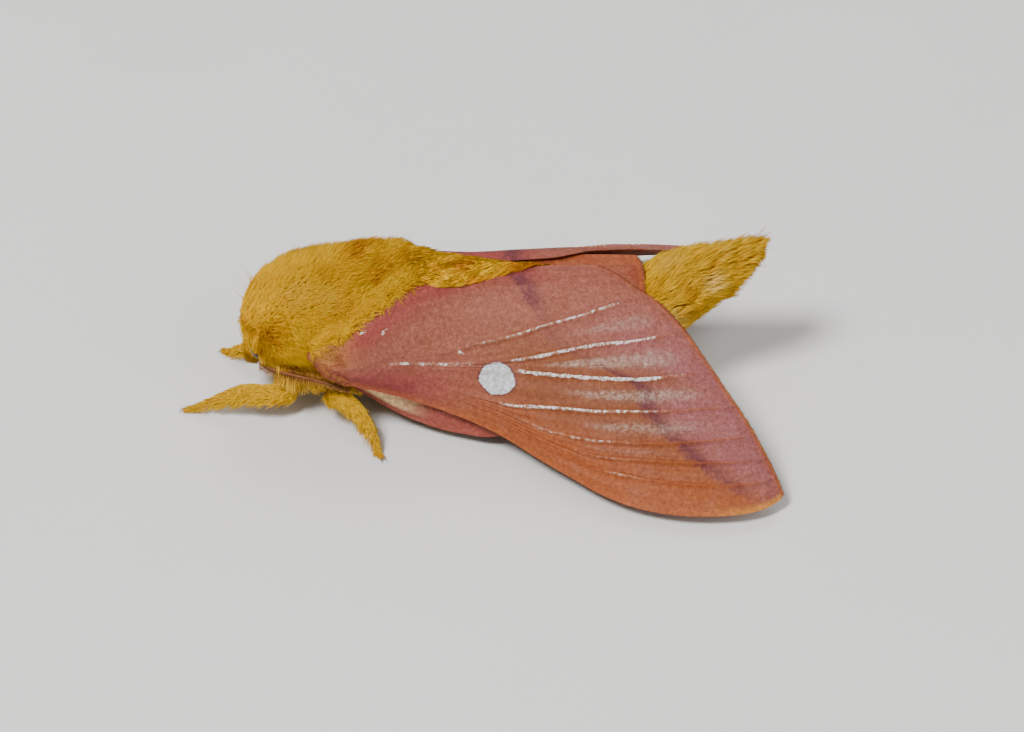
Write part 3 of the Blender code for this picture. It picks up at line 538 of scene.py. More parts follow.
# Tufts sown for each coat, some of which fall away under the wings or in the head
TUFTS = {
    "thorax": 53500, "mane": 9000, "edge": 3000, "breast": 5200, "strip": 4200,
    "abdomen_front": 4500, "abdomen_end": 20000, "head": 14000, "brow": 4200, "leg": 3000,
    "fringe_fore": 2600, "fringe_hind": 1300, "shoulder": 2200,
}
# Whorl on the thorax's rear: its station, its way to the left of the top, its size and turn
WHORL_S = 7.1
WHORL_ASIDE = 0.3
WHORL_SIZE = 1.5
WHORL_TURN = 1.1


def tuft_faces(rings):
    """Triangles of one tuft."""
    faces = [(0, 2, 1)]
    for i in range(rings - 1):
        for k in range(3):
            a = 3 * i + k
            b = 3 * i + (k + 1) % 3
            faces.append((a, b, b + 3))
            faces.append((a, b + 3, a + 3))
    last = 3 * (rings - 1)
    for k in range(3):
        faces.append((last + k, last + (k + 1) % 3, last + 3))
    return np.array(faces)


def tuft_pieces(name, path, normal, half, tone, uv, material, marks=None, rust_more=0.0,
                thick=0.8, slot_name="fur"):
    """Coat pieces of tufts along paths of shape (tufts, rings + 1, 3), from the root to the tip.

    tone is the tufts' shade, marks are their rust and pale shares where they aren't the fur's; the
    fur's own rust share holds painted shade.
    """
    count, points, _ = path.shape
    rings = points - 1
    run, taper = (RUN_LONG, WIDTH_LONG) if rings == 3 else (RUN_SHORT, WIDTH_SHORT)
    template = tuft_faces(rings)
    per_tuft = 3 * rings + 1
    ahead = unit(np.stack([path[:, i + 1] - path[:, max(i - 1, 0)] for i in range(rings)], 1))
    side = unit(np.cross(normal[:, None, :], ahead))
    spread = (half[:, None] * taper)[..., None]
    wide = side * spread
    high = np.cross(ahead, side) * spread * thick
    verts = np.empty((count, per_tuft, 3))
    verts[:, 0:-1:3] = path[:, :rings] - wide - high * 0.5
    verts[:, 1:-1:3] = path[:, :rings] + wide - high * 0.5
    verts[:, 2:-1:3] = path[:, :rings] + high
    verts[:, -1] = path[:, -1]
    ring_of = np.append(np.repeat(np.arange(rings), 3), rings)
    corner_of = np.append(np.tile([-0.5, 0.5, 0.0], rings), 0.0)
    patch = np.stack([corner_of * PATCH, (run[ring_of] - 0.5) * PATCH], -1)
    rust_and_shade, pale = fur_marks(path[:, 1]) if marks is None else marks
    values = {"tone": np.clip(tone, 0, 1), "rust_and_shade": np.clip(rust_and_shade + rust_more, 0, 1), "pale": pale}
    step = PIECE_TRIANGLES // len(template)
    for number, first in enumerate(range(0, count, step)):
        some = slice(first, min(first + step, count))
        size = some.stop - some.start
        faces = (template[None] + per_tuft * np.arange(size)[:, None, None]).reshape(-1, 3)
        obj = array_piece(f"{name}_{number + 1}", verts[some].reshape(-1, 3), faces, material)
        layer = obj.data.uv_layers.new(name="OFBake")
        corners = (uv[some][:, None, :] + patch[None]).reshape(-1, 2)[faces.ravel()]
        layer.data.foreach_set("uv", corners.astype(np.float32).ravel())
        add_value(obj, "lie", np.tile(run[ring_of], size))
        for key, value in values.items():
            value = np.broadcast_to(value, count)
            add_value(obj, key, np.repeat(value[some], per_tuft))
        finish_piece(obj, slot_name)


def scatter(count, s_range, surface, density=None):
    """Roots spread over a surface by its area times a density from 0 to 1, sorted along it."""
    found = []
    total = 0
    peak = None
    while total < count:
        s = rng.uniform(*s_range, count * 4)
        a = rng.uniform(0.0, TURN, count * 4)
        ds = surface(s + 0.02, a, 0.3) - surface(s - 0.02, a, 0.3)
        da = surface(s, a + 0.01, 0.3) - surface(s, a - 0.01, 0.3)
        weight = np.linalg.norm(np.cross(ds, da), axis=-1)
        if density:
            weight = weight * density(s, a)
        if peak is None:
            peak = np.percentile(weight, 99.5)
        keep = rng.random(count * 4) * peak < weight
        found.append(np.stack([s[keep], a[keep]]))
        total += int(keep.sum())
    s, a = np.concatenate(found, 1)[:, :count]
    order = np.argsort(s, kind="stable")
    return s[order], a[order]


def clumps(x, y, size):
    """How far beside each root its nearest clump's centre lies, and four draws for the clump.

    The draws run from -0.5 to 0.5.
    """
    rows, columns = CLUMP_CELLS
    table = rng.random((rows, columns, 6))
    i = np.floor(x / size).astype(int)
    j = np.floor(y / size).astype(int)
    best = np.full(x.shape, 1e9)
    beside = np.zeros(x.shape)
    draws = np.zeros(x.shape + (4,))
    for di in (-1, 0, 1):
        for dj in (-1, 0, 1):
            row = table[(i + di) % rows, (j + dj) % columns]
            cx = (i + di + row[..., 0]) * size
            cy = (j + dj + row[..., 1]) * size
            far = np.hypot(cx - x, cy - y)
            near = far < best
            best = np.where(near, far, best)
            beside = np.where(near, cy - y, beside)
            draws[near] = row[near][..., 2:]
    return beside, draws.T - 0.5


def vary(mean, count, high=1.3):
    """Values that spread from 0.7 of a mean upwards."""
    return mean * rng.uniform(0.7, high, count)


# Markings of the fur, shared by the skin and the coat, with painted shade low on the thorax's
# front: strength, s, t, z, size

RUST_AND_SHADE_PATCHES = [
    # The first two patches, on the thorax's front beside the head, are painted shade
    (0.5, 2.4, 3.1, 6.5, 1.1), (0.45, 1.7, 2.5, 5.5, 1.5), (0.55, 5.4, 1.3, 9.8, 0.9),
    (0.9, 7.1, -0.5, 10.2, 1.3), (0.45, 8.0, 1.4, 9.9, 1.2), (0.5, 4.0, -1.9, 9.4, 1.3),
    (0.5, 10.4, 1.3, 10.0, 0.9), (0.45, 6.3, 3.3, 8.0, 0.9), (1.2, 28.4, 1.1, 9.5, 0.45),
    (0.55, 27.0, 2.2, 8.2, 0.7), (0.25, 30.2, 0.9, 9.2, 0.9), (1.0, 13.2, 0.5, 9.6, 0.9),
]
PALE_PATCHES = [
    (0.2, 3.6, 2.3, 8.9, 1.1), (0.16, 5.6, 2.6, 8.7, 1.0), (0.3, 25.7, -0.1, 8.6, 1.0),
    (0.9, 28.4, 2.0, 8.5, 0.8), (0.8, 26.0, 3.0, 5.9, 1.3), (0.7, 29.0, 0.6, 9.9, 0.5),
]


def fur_marks(points):
    """Rust and pale shares of the fur at layout places, the rust one with painted shade."""
    s, z = points[..., 1], points[..., 2]
    # Painted shade: the rust share rises low on the thorax's front, below the head
    shares = [0.25 * smooth((4.6 - z) / 1.5) * (s < 11), 0.12 * smooth((s - 24.5) / 1.5)]
    for number, patches in enumerate((RUST_AND_SHADE_PATCHES, PALE_PATCHES)):
        for strength, at_s, at_t, at_z, size in patches:
            away = np.linalg.norm(points - np.array([at_t, at_s, at_z]), axis=-1)
            shares[number] = shares[number] + strength * smooth(1.3 - away / size)
    return [np.clip(share, 0, 1) for share in shares]


# Materials

class Value:
    """A number over the surface, with the sums that the materials take."""

    def __init__(self, paint, socket):
        self.paint = paint
        self.socket = socket

    def sum(self, operation, *numbers):
        return self.paint.node("ShaderNodeMath", dict(enumerate(numbers)), operation=operation)

    def __add__(self, other):
        return self.sum("ADD", self, other)

    def __sub__(self, other):
        return self.sum("SUBTRACT", self, other)

    def __rsub__(self, other):
        return self.sum("SUBTRACT", other, self)

    def __mul__(self, other):
        return self.sum("MULTIPLY", self, other)

    def most(self, other):
        return self.sum("MAXIMUM", self, other)

    def ramp(self, low, high, to_low=0.0, to_high=1.0):
        """Smooth step from low to high."""
        inputs = {"Value": self, "From Min": low, "From Max": high, "To Min": to_low,
                  "To Max": to_high}
        return self.paint.node("ShaderNodeMapRange", inputs, interpolation_type="SMOOTHSTEP")


class Paint:
    """A procedural material whose base colour is laid on in coats."""

    def __init__(self, name, roughness, specular=0.5):
        self.material = bpy.data.materials.new(name)
        self.material.use_nodes = True
        self.tree = self.material.node_tree
        self.shader = self.tree.nodes["Principled BSDF"].inputs
        self.shader["Roughness"].default_value = roughness
        self.shader["Specular IOR Level"].default_value = specular

    def feed(self, socket, value):
        if isinstance(value, Value):
            self.tree.links.new(value.socket, socket)
        elif isinstance(value, tuple) and socket.type == "RGBA":
            socket.default_value = (*value, 1.0)
        else:
            socket.default_value = value

    def node(self, kind, inputs, result=0, **settings):
        """The result of a new node with these inputs and settings."""
        made = self.tree.nodes.new(kind)
        for key, value in settings.items():
            setattr(made, key, value)
        for key, value in inputs.items():
            self.feed(made.inputs[key], value)
        return Value(self, made.outputs[result])

    def value(self, name):
        return self.node("ShaderNodeAttribute", {}, "Fac", attribute_name=name)

    def mix(self, share, a, b, blend="MIX"):
        inputs = {0: share, 6: a, 7: b}
        return self.node("ShaderNodeMix", inputs, 2, data_type="RGBA", blend_type=blend)

    def coat(self, share, colour):
        """Lays a colour over the present one where the share is high."""
        self.colour = self.mix(share, self.colour, colour)

    def plane(self, x, y):
        return self.node("ShaderNodeCombineXYZ", {0: x, 1: y})

    def place(self):
        return self.node("ShaderNodeTexCoord", {}, "Object")

    def noise(self, scale, detail=3.0, roughness=0.5, where=None):
        """Noise over the piece, scale in spots for each metre, or over another place."""
        inputs = {"Vector": where or self.place(), "Scale": scale, "Detail": detail,
                  "Roughness": roughness}
        return self.node("ShaderNodeTexNoise", inputs, "Fac")

    def finish(self, height=None, strength=0.5, distance=0.0):
        """Connects the colour, and a bump where a height is given."""
        self.feed(self.shader["Base Color"], self.colour)
        if height:
            inputs = {"Height": height, "Strength": strength, "Distance": distance}
            self.feed(self.shader["Normal"], self.node("ShaderNodeBump", inputs, "Normal"))
        return self.material


# Colours of each kind of hair: its yellow, orange, brown, pale and tip
HAIR_COLOURS = {
    "fur": ((0.74, 0.43, 0.006), (0.62, 0.25, 0.004), (0.4, 0.12, 0.005), (0.86, 0.58, 0.13),
            (0.81, 0.49, 0.016)),
    "fringe": ((0.5, 0.17, 0.05), (0.4, 0.11, 0.045), (0.28, 0.075, 0.055), (0.6, 0.26, 0.08),
               (0.52, 0.2, 0.06)),
    "shoulder": ((0.46, 0.19, 0.05), (0.3, 0.065, 0.05), (0.24, 0.05, 0.04),
                 (0.55, 0.27, 0.07), (0.44, 0.16, 0.07)),
    "comb": ((0.5, 0.24, 0.07), (0.2, 0.06, 0.016), (0.14, 0.045, 0.012), (0.6, 0.36, 0.14),
             (0.66, 0.42, 0.16)),
}


def fur_material(name):
    """Hair whose colour follows each tuft's own tone, the markings and the way to its tip."""
    yellow, orange, brown, pale, tip = HAIR_COLOURS[name]
    p = Paint(name, 0.6, specular=0.06)
    tone = p.value("tone")
    lie = p.value("lie")
    p.colour = p.mix(tone.ramp(0.2, 0.95), yellow, orange)
    p.coat(lie.ramp(0.6, 1.0, 0.0, 0.45), tip)
    p.coat(p.value("pale") * tone.ramp(0.9, 0.2), pale)
    # Rust marks, with the painted shade low on the thorax's front
    p.coat(p.value("rust_and_shade") * tone.ramp(0.0, 0.6, 0.45, 1.0), brown)
    p.coat(lie.ramp(0.6, 0.0, 0.0, 0.75), p.mix(0.5, orange, brown))
    return p.finish()


def skin_material():
    p = Paint("skin", 0.7, specular=0.2)
    p.colour = p.mix(p.noise(2600.0), (0.42, 0.17, 0.012), (0.55, 0.28, 0.02))
    # Rust marks, with the painted shade low on the thorax's front
    p.coat(p.value("rust_and_shade"), (0.26, 0.09, 0.012))
    p.coat(p.value("pale") * 0.5, (0.7, 0.45, 0.1))
    return p.finish(p.noise(5200.0), 0.5, 0.00008)


ROSE = (0.25, 0.038, 0.032)
DEEP_ROSE = (0.21, 0.02, 0.026)
TAN = (0.272, 0.088, 0.052)
RUST = (0.205, 0.058, 0.02)
MAUVE = (0.275, 0.088, 0.09)
PURPLE = (0.1, 0.02, 0.03)
AMBER = (0.34, 0.078, 0.016)
STRAW = (0.58, 0.24, 0.04)
# Pale of the painted sheen on the thinly scaled streaks
SHEEN_PALE = (0.34, 0.235, 0.18)
# Faint line of the painted glints along the veins
GLINT_TRAIL = (0.52, 0.32, 0.22)
SHOULDER = (0.45, 0.19, 0.045)
# White of the painted glints on the veins
GLINT_WHITE = (0.84, 0.83, 0.82)
SCALE_BUMP = (0.6, 0.00006)


def grain(p, fine, middle):
    """Breaks the colour up by the wing's scales, darker and redder here, paler there."""
    dark = p.mix(1.0, p.colour, (0.62, 0.5, 0.46), "MULTIPLY")
    p.coat(fine.ramp(0.52, 0.3, 0.0, 0.7), dark)
    p.coat(middle.ramp(0.5, 0.3, 0.0, 0.6), dark)
    light = p.mix(1.0, p.colour, (1.35, 1.5, 1.6), "MULTIPLY")
    p.coat(fine.ramp(0.55, 0.75, 0.0, 0.6), light)
    p.coat(middle.ramp(0.52, 0.7, 0.0, 0.75), light)


def wing_paint(name, roughness, specular):
    """A wing's material with its fine and coarse scales and its distances."""
    p = Paint(name, roughness, specular)
    distances = [p.value(key) for key in ("root", "inner", "costa", "edge")]
    return p, p.noise(9500.0, 3.0, 0.7), p.noise(2400.0, 4.0, 0.6), distances


def forewing_material():
    p, fine, coarse, (root, inner, costa, edge) = wing_paint("forewing", 0.5, 0.25)
    blotch = p.noise(700.0)
    middle = p.noise(4200.0, 2.0, 0.6)
    across = p.value("across")
    vein = p.value("vein")
    glint = p.value("glint")
    purple = p.value("purple") + (coarse - 0.5) * 1.6
    spot = p.value("spot") + ((fine - 0.5) * 0.22 + (coarse - 0.5) * 0.3)

    # Ground colour from the rosy root to the mauve margin
    calm = (inner.ramp(0.5, 2.6) * 0.85).most(root.ramp(12.0, 15.5, 0.0, 0.7))
    p.colour = p.mix(calm, ROSE, TAN)
    p.coat(across.ramp(0.25, 0.5) * root.ramp(6.0, 13.0), RUST)
    p.coat(across.ramp(0.5, 0.9) * root.ramp(11.0, 5.0) * 0.8, DEEP_ROSE)
    p.coat(across.ramp(0.66, 0.92) * root.ramp(6.0, 13.0) * 0.6, AMBER)
    late = across.ramp(0.46, 0.58).most(purple.ramp(2.0, 5.5, 0.3, 1.0))
    p.coat(purple.ramp(-1.0, 2.2) * across.ramp(0.1, 0.45) * late * 0.85, MAUVE)

    # Soft broken line beyond the spot, and the shoulder
    gap = across.ramp(0.27, 0.2).most(across.ramp(0.42, 0.53))
    patchy = coarse.ramp(0.2, 0.6, 0.35, 1.0) * across.ramp(0.98, 0.86) * gap.ramp(0.0, 1.0, 0.35)
    p.coat(purple.ramp(-0.7, 0.0) * purple.ramp(1.2, 0.1) * patchy * 0.88, PURPLE)
    p.coat(root.ramp(3.2, 0.6) * across.ramp(0.95, 0.4) * 0.85, SHOULDER)
    p.coat(blotch.ramp(0.5, 0.75, 0.0, 0.35), TAN)
    p.coat(blotch.ramp(0.45, 0.25, 0.0, 0.35), RUST)
    line = vein.ramp(0.14, 0.05) * edge.ramp(0.3, 2.0) * root.ramp(9.0, 15.0)
    p.coat(line * across.ramp(0.2, 0.28) * 0.4, AMBER)

    # Brushed pale streaks between the veins, thin scaling with a painted sheen
    brushed = p.noise(3.2, 5.0, 0.75, p.plane(root * 0.8, inner * 3.6))
    sheen_streak = p.value("sheen_streak").ramp(0.05, 0.75, 0.0, 0.9) * brushed.ramp(0.35, 0.62, 0.2, 1.0)
    sheen_streak = sheen_streak * middle.ramp(0.35, 0.62, 0.4, 1.0)
    p.coat(sheen_streak, SHEEN_PALE)

    # Painted highlights: glints as bright beads along the veins, over a faint painted line
    glint_trail = vein.ramp(0.15, 0.03) * glint.ramp(0.02, 0.8, 0.0, 0.45)
    p.coat(glint_trail * middle.ramp(0.38, 0.58, 0.25, 1.0), GLINT_TRAIL)
    along_vein = p.plane(root, across * 5.0)
    present = (p.noise(3.0, 2.0, 0.6, along_vein) - (0.66 - glint * 0.3)).ramp(-0.03, 0.08)
    swell = glint * glint * p.noise(1.4, 3.0, 0.5, along_vein).ramp(0.38, 0.62, 0.2, 1.0)
    bead_noise = p.noise(6500.0, 2.0, 0.6)
    half = swell * 0.1 + 0.035 + (bead_noise - 0.5) * 0.16
    glint_beads = (vein - half).ramp(0.025, -0.025) * present * glint.ramp(0.05, 0.7, 0.0, 0.95)
    glint_beads = glint_beads * bead_noise.ramp(0.4, 0.53, 0.1, 1.0)
    glint_beads = glint_beads.most(p.value("glint_dot").ramp(1.2, 0.5, 0.0, 0.9))
    p.coat(glint_beads, GLINT_WHITE)

    # White spot, warm edges and dark specks
    p.coat(spot.ramp(0.2, 0.04) * coarse.ramp(0.3, 0.55, 0.15, 0.8), PURPLE)
    p.coat(spot.ramp(0.03, -0.03), p.mix(fine, (0.46, 0.46, 0.48), (0.58, 0.58, 0.59)))
    p.coat(edge.ramp(0.4, 0.05).most(costa.ramp(0.6, 0.1)) * 0.5, AMBER)
    p.coat(costa.ramp(0.7, 0.1) * edge.ramp(6.0, 1.0) * 0.7, STRAW)
    p.coat(p.value("speck").ramp(1.2, 0.5, 0.0, 0.75), (0.1, 0.03, 0.01))
    grain(p, fine, middle)
    p.feed(p.shader["Roughness"], 0.58 - glint_beads.most(sheen_streak) * 0.25)
    return p.finish(fine, *SCALE_BUMP)


def hindwing_material():
    p, fine, coarse, (root, inner, costa, edge) = wing_paint("hindwing", 0.58, 0.2)
    p.colour = p.mix(p.noise(900.0).ramp(0.3, 0.7), (0.23, 0.045, 0.02), (0.26, 0.07, 0.036))
    p.coat(costa.ramp(3.0, 1.2, 0.0, 0.75), (0.3, 0.068, 0.05))
    cream = root.ramp(5.4, 2.4) * costa.ramp(0.25, 0.7) * coarse.ramp(0.3, 0.6, 0.6, 1.0)
    p.coat(cream, (0.88, 0.61, 0.3))
    p.coat(inner.ramp(1.6, 0.4, 0.0, 0.5), AMBER)
    p.coat(edge.ramp(0.5, 0.1, 0.0, 0.6), AMBER)
    grain(p, fine, p.noise(4200.0, 2.0, 0.6))
    return p.finish(fine, *SCALE_BUMP)


def plain_material(name, colour_a, colour_b, roughness, scale, bump_distance=None):
    p = Paint(name, roughness)
    noise = p.noise(scale, 3.0, 0.6)
    p.colour = p.mix(noise, colour_a, colour_b)
    return p.finish(bump_distance and noise, 0.4, bump_distance)


def eye_material():
    """Dark eye of many small facets under a clear gloss."""
    p = Paint("eye", 0.3, specular=0.3)
    facets = {"Vector": p.place(), "Scale": 22000.0}
    far = p.node("ShaderNodeTexVoronoi", facets, "Distance", feature="F1")
    p.colour = p.mix(far, (0.035, 0.016, 0.01), (0.012, 0.006, 0.005))
    p.shader["Coat Weight"].default_value = 0.12
    p.shader["Coat Roughness"].default_value = 0.15
    return p.finish(1.0 - far, 0.35, 0.00002)


# Skin

VOXEL = 0.13


def tube(surface, start, end, rows, angle, depth):
    """Rings of a surface from one station to another."""
    return [surface(np.full(len(angle), s), angle, depth) for s in np.linspace(start, end, rows)]


def build_skin(material):
    """One skin for the head, thorax, abdomen and legs, grown together and smoothed."""
    bodies = [tube(thorax_skin, 0.7, 12.2, 60, round_turn(72), THORAX_CORE),
              tube(abdomen_skin, 11.7, 31.2, 90, round_turn(72), ABDOMEN_CORE),
              tube(head_point, -1.5, 1.85, 30, -round_turn(48), HEAD_CORE)]
    for name, path in LEGS.items():
        leg = partial(leg_point, name)
        bodies.append(tube(leg, 0.0, len(path) - 1.0, 60, round_turn(24), LEG_CORE))
    obj = link("skin", closed_mesh("skin", [grid_solid(rings) for rings in bodies]))
    remesh = obj.modifiers.new("one", "REMESH")
    remesh.mode = "VOXEL"
    remesh.voxel_size = VOXEL
    even = obj.modifiers.new("even", "SMOOTH")
    even.iterations = 4
    even.factor = 0.5
    graph = bpy.context.evaluated_depsgraph_get()
    made = bpy.data.meshes.new_from_object(obj.evaluated_get(graph))
    obj.modifiers.clear()
    obj.data = made
    co = np.empty(len(made.vertices) * 3, np.float32)
    made.vertices.foreach_get("co", co)
    points = co.reshape(-1, 3).astype(float)
    made.vertices.foreach_set("co", place(points).astype(np.float32).ravel())
    made.materials.clear()
    shade(made, material)
    made.update()
    for name, values in zip(("rust_and_shade", "pale"), fur_marks(points)):
        add_value(obj, name, values)
    finish_piece(obj, "fur", *FLESH)


# Coat

# Places on the skin's unwrap: left, bottom, width, height, first station and stations covered
THORAX_REGION = (0.02, 0.52, 0.46, 0.46, 0.3, 12.4)
STRIP_REGION = THORAX_REGION[:5] + (21.2,)
ABDOMEN_REGION = (0.52, 0.4, 0.46, 0.58, 11.6, 20.8)
HEAD_REGION = (0.02, 0.3, 0.2, 0.18, -1.6, 3.6)
BROW_REGION = HEAD_REGION[:4] + (-2.0, 4.0)
LEG_REGIONS = {name: (0.02 + 0.12 * i, 0.02, 0.1, 0.25, 0.0, len(path) - 1.0)
               for i, (name, path) in enumerate(LEGS.items())}
WING_REGION = (0.76, 0.02, 0.22, 0.34, 0.0, 1.0)


def bake_place(region, along, angle):
    """Place of a root on the unwrap of its part of the skin."""
    left, bottom, width, height, start, span = region
    turn = np.mod(angle, TURN) / TURN
    up = bottom + height * (along - start) / span
    return np.stack(np.broadcast_arrays(left + width * turn, up), -1)


def grow(surface, s, a, radius, length, turn, root_depth, tip, run=RUN_SHORT, bend=0.8):
    """Paths and normals of tufts over a surface, with length and turn (radians off the lie).

    root_depth and tip are the depths at the ends, and bend says how soon a tuft rises.
    """
    points = []
    for r in run:
        here = s + length * r * np.cos(turn)
        there = a + length * r * np.sin(turn) / radius
        points.append(surface(here, there, root_depth + (tip - root_depth) * r ** bend))
    path = np.stack(points, 1)
    return path, unit(surface(s, a, root_depth - 0.3) - path[:, 0])


def thorax_density(s, a):
    free = thorax_outline(s, a, 0.0)
    low = smooth((4.6 - free[..., 2]) / 1.0)
    return (1 - smooth((under_wing(s, free, 0.3) - 0.35) / 0.4)) * (1 - 0.5 * low) + 0.02


def thorax_roots(count, s_range):
    """Roots over the thorax, with each place's radius and how far its hair is pressed flat."""
    s, a = scatter(count, s_range, thorax_outline, thorax_density)
    free = thorax_outline(s, a, 0.0)
    cover = under_wing(s, free, 0.3)
    keep = ~inside_head(thorax_outline(s, a, 0.3), 0.1) & (cover < 0.75)
    half, high, _ = interp(THORAX, s)
    radius = np.maximum((half + high) / 2, 0.6)
    feeler = smooth((4.9 - free[..., 2]) / 0.8) * smooth((free[..., 0] ** 2 - 1.0) / 3.0)
    press = np.maximum(0.4 * cover, 0.45 * feeler * smooth((7.5 - s) / 1.0))
    beside = smooth(1 - np.abs(free[..., 2] - wing_top_height(free, s) - 0.35) / 1.3)
    press = press - 0.3 * beside * smooth((s - 4.4) / 0.8) * smooth((10.8 - s) / 1.5)
    return s[keep], a[keep], radius[keep], press[keep]


def front_flow(path, normal, s, length, rise):
    """Turns the hair of the thorax's front so that it flows up over it from the head."""
    share = smooth((2.9 - s) / 1.5)[:, None]
    line = np.array([0.0, 0.35, 1.0])
    tangent = unit(line - normal * (normal @ line)[:, None])
    steps = path.shape[1] - 1
    for i in range(1, steps + 1):
        r = i / steps
        reach = length * r
        straight = path[:, 0] + tangent * reach[:, None]
        straight = straight + normal * (rise * r ** 0.8 - reach ** 2 / 4.4)[:, None]
        path[:, i] = path[:, i] * (1 - share) + straight * share
    return path


def whorl(s, a, radius):
    """Turn of the hair round the whorl on the thorax's rear."""
    along = s - WHORL_S
    round_it = (np.mod(a, TURN) - 0.5 * math.pi) * radius - WHORL_ASIDE
    far = np.hypot(along, round_it)
    return WHORL_TURN * np.exp(-(far / WHORL_SIZE) ** 2) * np.sin(np.arctan2(round_it, along))


def coat_thorax(material):
    """Velvet of short hair over the whole thorax and longer, whorled hair over its rear."""
    s, a, radius, press = thorax_roots(TUFTS["thorax"], (0.36, 11.6))
    n = len(s)
    beside, lot = clumps(s, a * radius, 0.24)
    _, broad = clumps(s, a * radius, 0.7)
    rear = smooth((s - 5.2) / 3.5)
    length = (0.58 + 0.85 * rear) * rng.uniform(0.7, 1.25, n)
    turn = beside * (0.1 + 0.9 * rear) + rng.normal(0, 0.4, n) + lot[1] * (0.5 + 0.9 * rear)
    turn = turn + broad[1] * (0.15 + 0.6 * rear) + whorl(s, a, radius)
    tip = rng.normal(0.04, 0.1, n) + lot[2] * (0.14 + 0.26 * rear) + 0.12 * rear
    tip = tip - 0.08 * smooth((2.8 - s) / 1.8)
    depth = THORAX_CORE + 0.08
    path, normal = grow(thorax_outline, s, a, radius, length, turn, depth, tip + press)
    path = front_flow(path, unit(normal + rng.normal(0, 0.12, (n, 3))), s, length, depth - tip)
    width = vary(0.031, n)
    tone = rng.normal(0.28, 0.2, n) + lot[3] * (0.36 + 0.5 * rear) + broad[3] * (0.2 + 0.4 * rear)
    tuft_pieces("coat_thorax", path, normal, width, tone, bake_place(THORAX_REGION, s, a), material,
                rust_more=0.75 * rear * smooth((lot[0] - 0.2) / 0.1))

    s, a, radius, press = thorax_roots(TUFTS["mane"], (5.5, 12.2))
    n = len(s)
    beside, lot = clumps(s, a * radius, 0.6)
    length = (1.5 + 0.8 * smooth((s - 7.0) / 3.0)) * rng.uniform(0.7, 1.2, n)
    turn = beside * 0.5 + rng.normal(0, 0.22, n) + lot[1] * 1.1 + whorl(s, a, radius)
    tip = np.maximum(rng.normal(0.08, 0.1, n) + lot[2] * 0.4, -0.25)
    path, normal = grow(thorax_outline, s, a, radius, length, turn, depth, tip + press,
                        RUN_LONG, 0.75)
    width = vary(0.034, n)
    tone = rng.normal(0.42, 0.2, n) + lot[3] * 0.7
    tuft_pieces("coat_mane", path, normal, width, tone, bake_place(THORAX_REGION, s, a), material,
                rust_more=0.7 * smooth((lot[0] - 0.18) / 0.1))


def wing_hollow(side, s, f, depth):
    """Points over the hollow between the thorax and a forewing.

    f runs from the thorax's fur (0) to the wing's inner edge (1) and on over the wing.
    """
    _, top = interp(TOP[side], s)
    _, high, mid = interp(THORAX, s)
    a = np.arcsin(np.clip((top + HOLLOW_RISE - mid) / high, -1, 0.98))
    upper = thorax_outline(s, a, 0.0)
    out = unit(upper - thorax_outline(s, a, 0.5))
    w = np.clip(f - 1, 0, 1) * HOLLOW_WIDTH / roof_width(side, s)
    up = roof_normal(side, s, w + 0.02)
    lower = roof(side, s, w) + up * 0.3
    share = np.clip(f, 0, 1)[..., None]
    normal = unit(out * (1 - share) + up * share)
    rise = 0.2 * np.sin(math.pi * share[..., 0]) - depth
    return upper * (1 - share) + lower * share + normal * rise[..., None]


def coat_wing_edge(material):
    """Velvet over the hollows beside the thorax, ragged where it ends on the forewings."""
    for side, word in SIDES:
        n = TUFTS["edge"]
        s = np.sort(rng.uniform(4.3, 10.8, n))
        f = rng.uniform(-0.1, 1.0, n)
        _, lot = clumps(s, f * HOLLOW_WIDTH, 0.26)
        turn = 0.45 + rng.normal(0, 0.4, n) + lot[1] * 1.3
        length = rng.uniform(0.5, 0.95, n) * (1.05 + 0.5 * lot[0])
        tip = rng.normal(0.05, 0.08, n) + lot[2] * 0.26
        path, normal = grow(partial(wing_hollow, side), s, f, HOLLOW_WIDTH, length, turn, 0.45, tip)
        tone = rng.normal(0.3, 0.2, n) + lot[3] * 0.7
        uv = bake_place(THORAX_REGION, s, 0.5 * math.pi - side * (0.4 + f * 0.2))
        tuft_pieces("coat_edge_" + word, path * MIRROR[side], normal * MIRROR[side],
                    vary(0.03, n), tone, uv, material)


def coat_breast(material):
    """Longer ragged hair along the thorax's lower sides, between and over the legs' bases."""
    for side, word in SIDES:
        n = TUFTS["breast"]
        s = rng.uniform(1.0, 9.0, n)
        past = smooth((s - 6.0) / 0.8)
        top = -0.235 + 0.1 * smooth((1.8 - s) / 0.4) + 0.08 * past
        a = rng.uniform(-0.42 * math.pi, top * math.pi)
        _, lot = clumps(s, a * 4.0, 0.45)
        root = thorax_outline(s, a, THORAX_CORE + 0.1)
        out = unit(thorax_outline(s, a, 0.0) - root)
        length = rng.uniform(0.9, 1.5, n) * (1.05 + 0.5 * lot[0])
        length = length * (0.6 + 0.5 * smooth((s - 1.6) / 1.5))
        thigh = smooth((s - 2.3) / 0.4) * smooth((4.3 - s) / 0.6)
        lean = out * (0.35 + 0.35 * past)[:, None] + np.array([0.1, 0.35, -0.75])
        lean = lean + np.array([0.2, -0.6, 0.2]) * thigh[:, None]
        lean = lean + rng.normal(0, 0.12, (n, 3)) + lot[1][:, None] * np.array([0.2, 0.5, 0.1])
        lean = unit(lean)
        path = np.stack([root + (lean * r + out * 0.3 * math.sin(math.pi * r)) * length[:, None]
                         for r in RUN_SHORT], 1)
        path[..., 2] = np.maximum(path[..., 2], 0.9)
        # Painted light: the breast's hair is paler and yellower than the rest, to lift it from the
        # shade under the thorax
        tone = 0.6 * np.clip(rng.normal(0.35, 0.18, n) + lot[3] * 0.4, 0, 1)
        uv = bake_place(THORAX_REGION, s, a if side > 0 else math.pi - a)
        tuft_pieces("coat_breast_" + word, path * MIRROR[side], out * MIRROR[side], vary(0.032, n),
                    tone, uv, material, (0.0, 0.3))


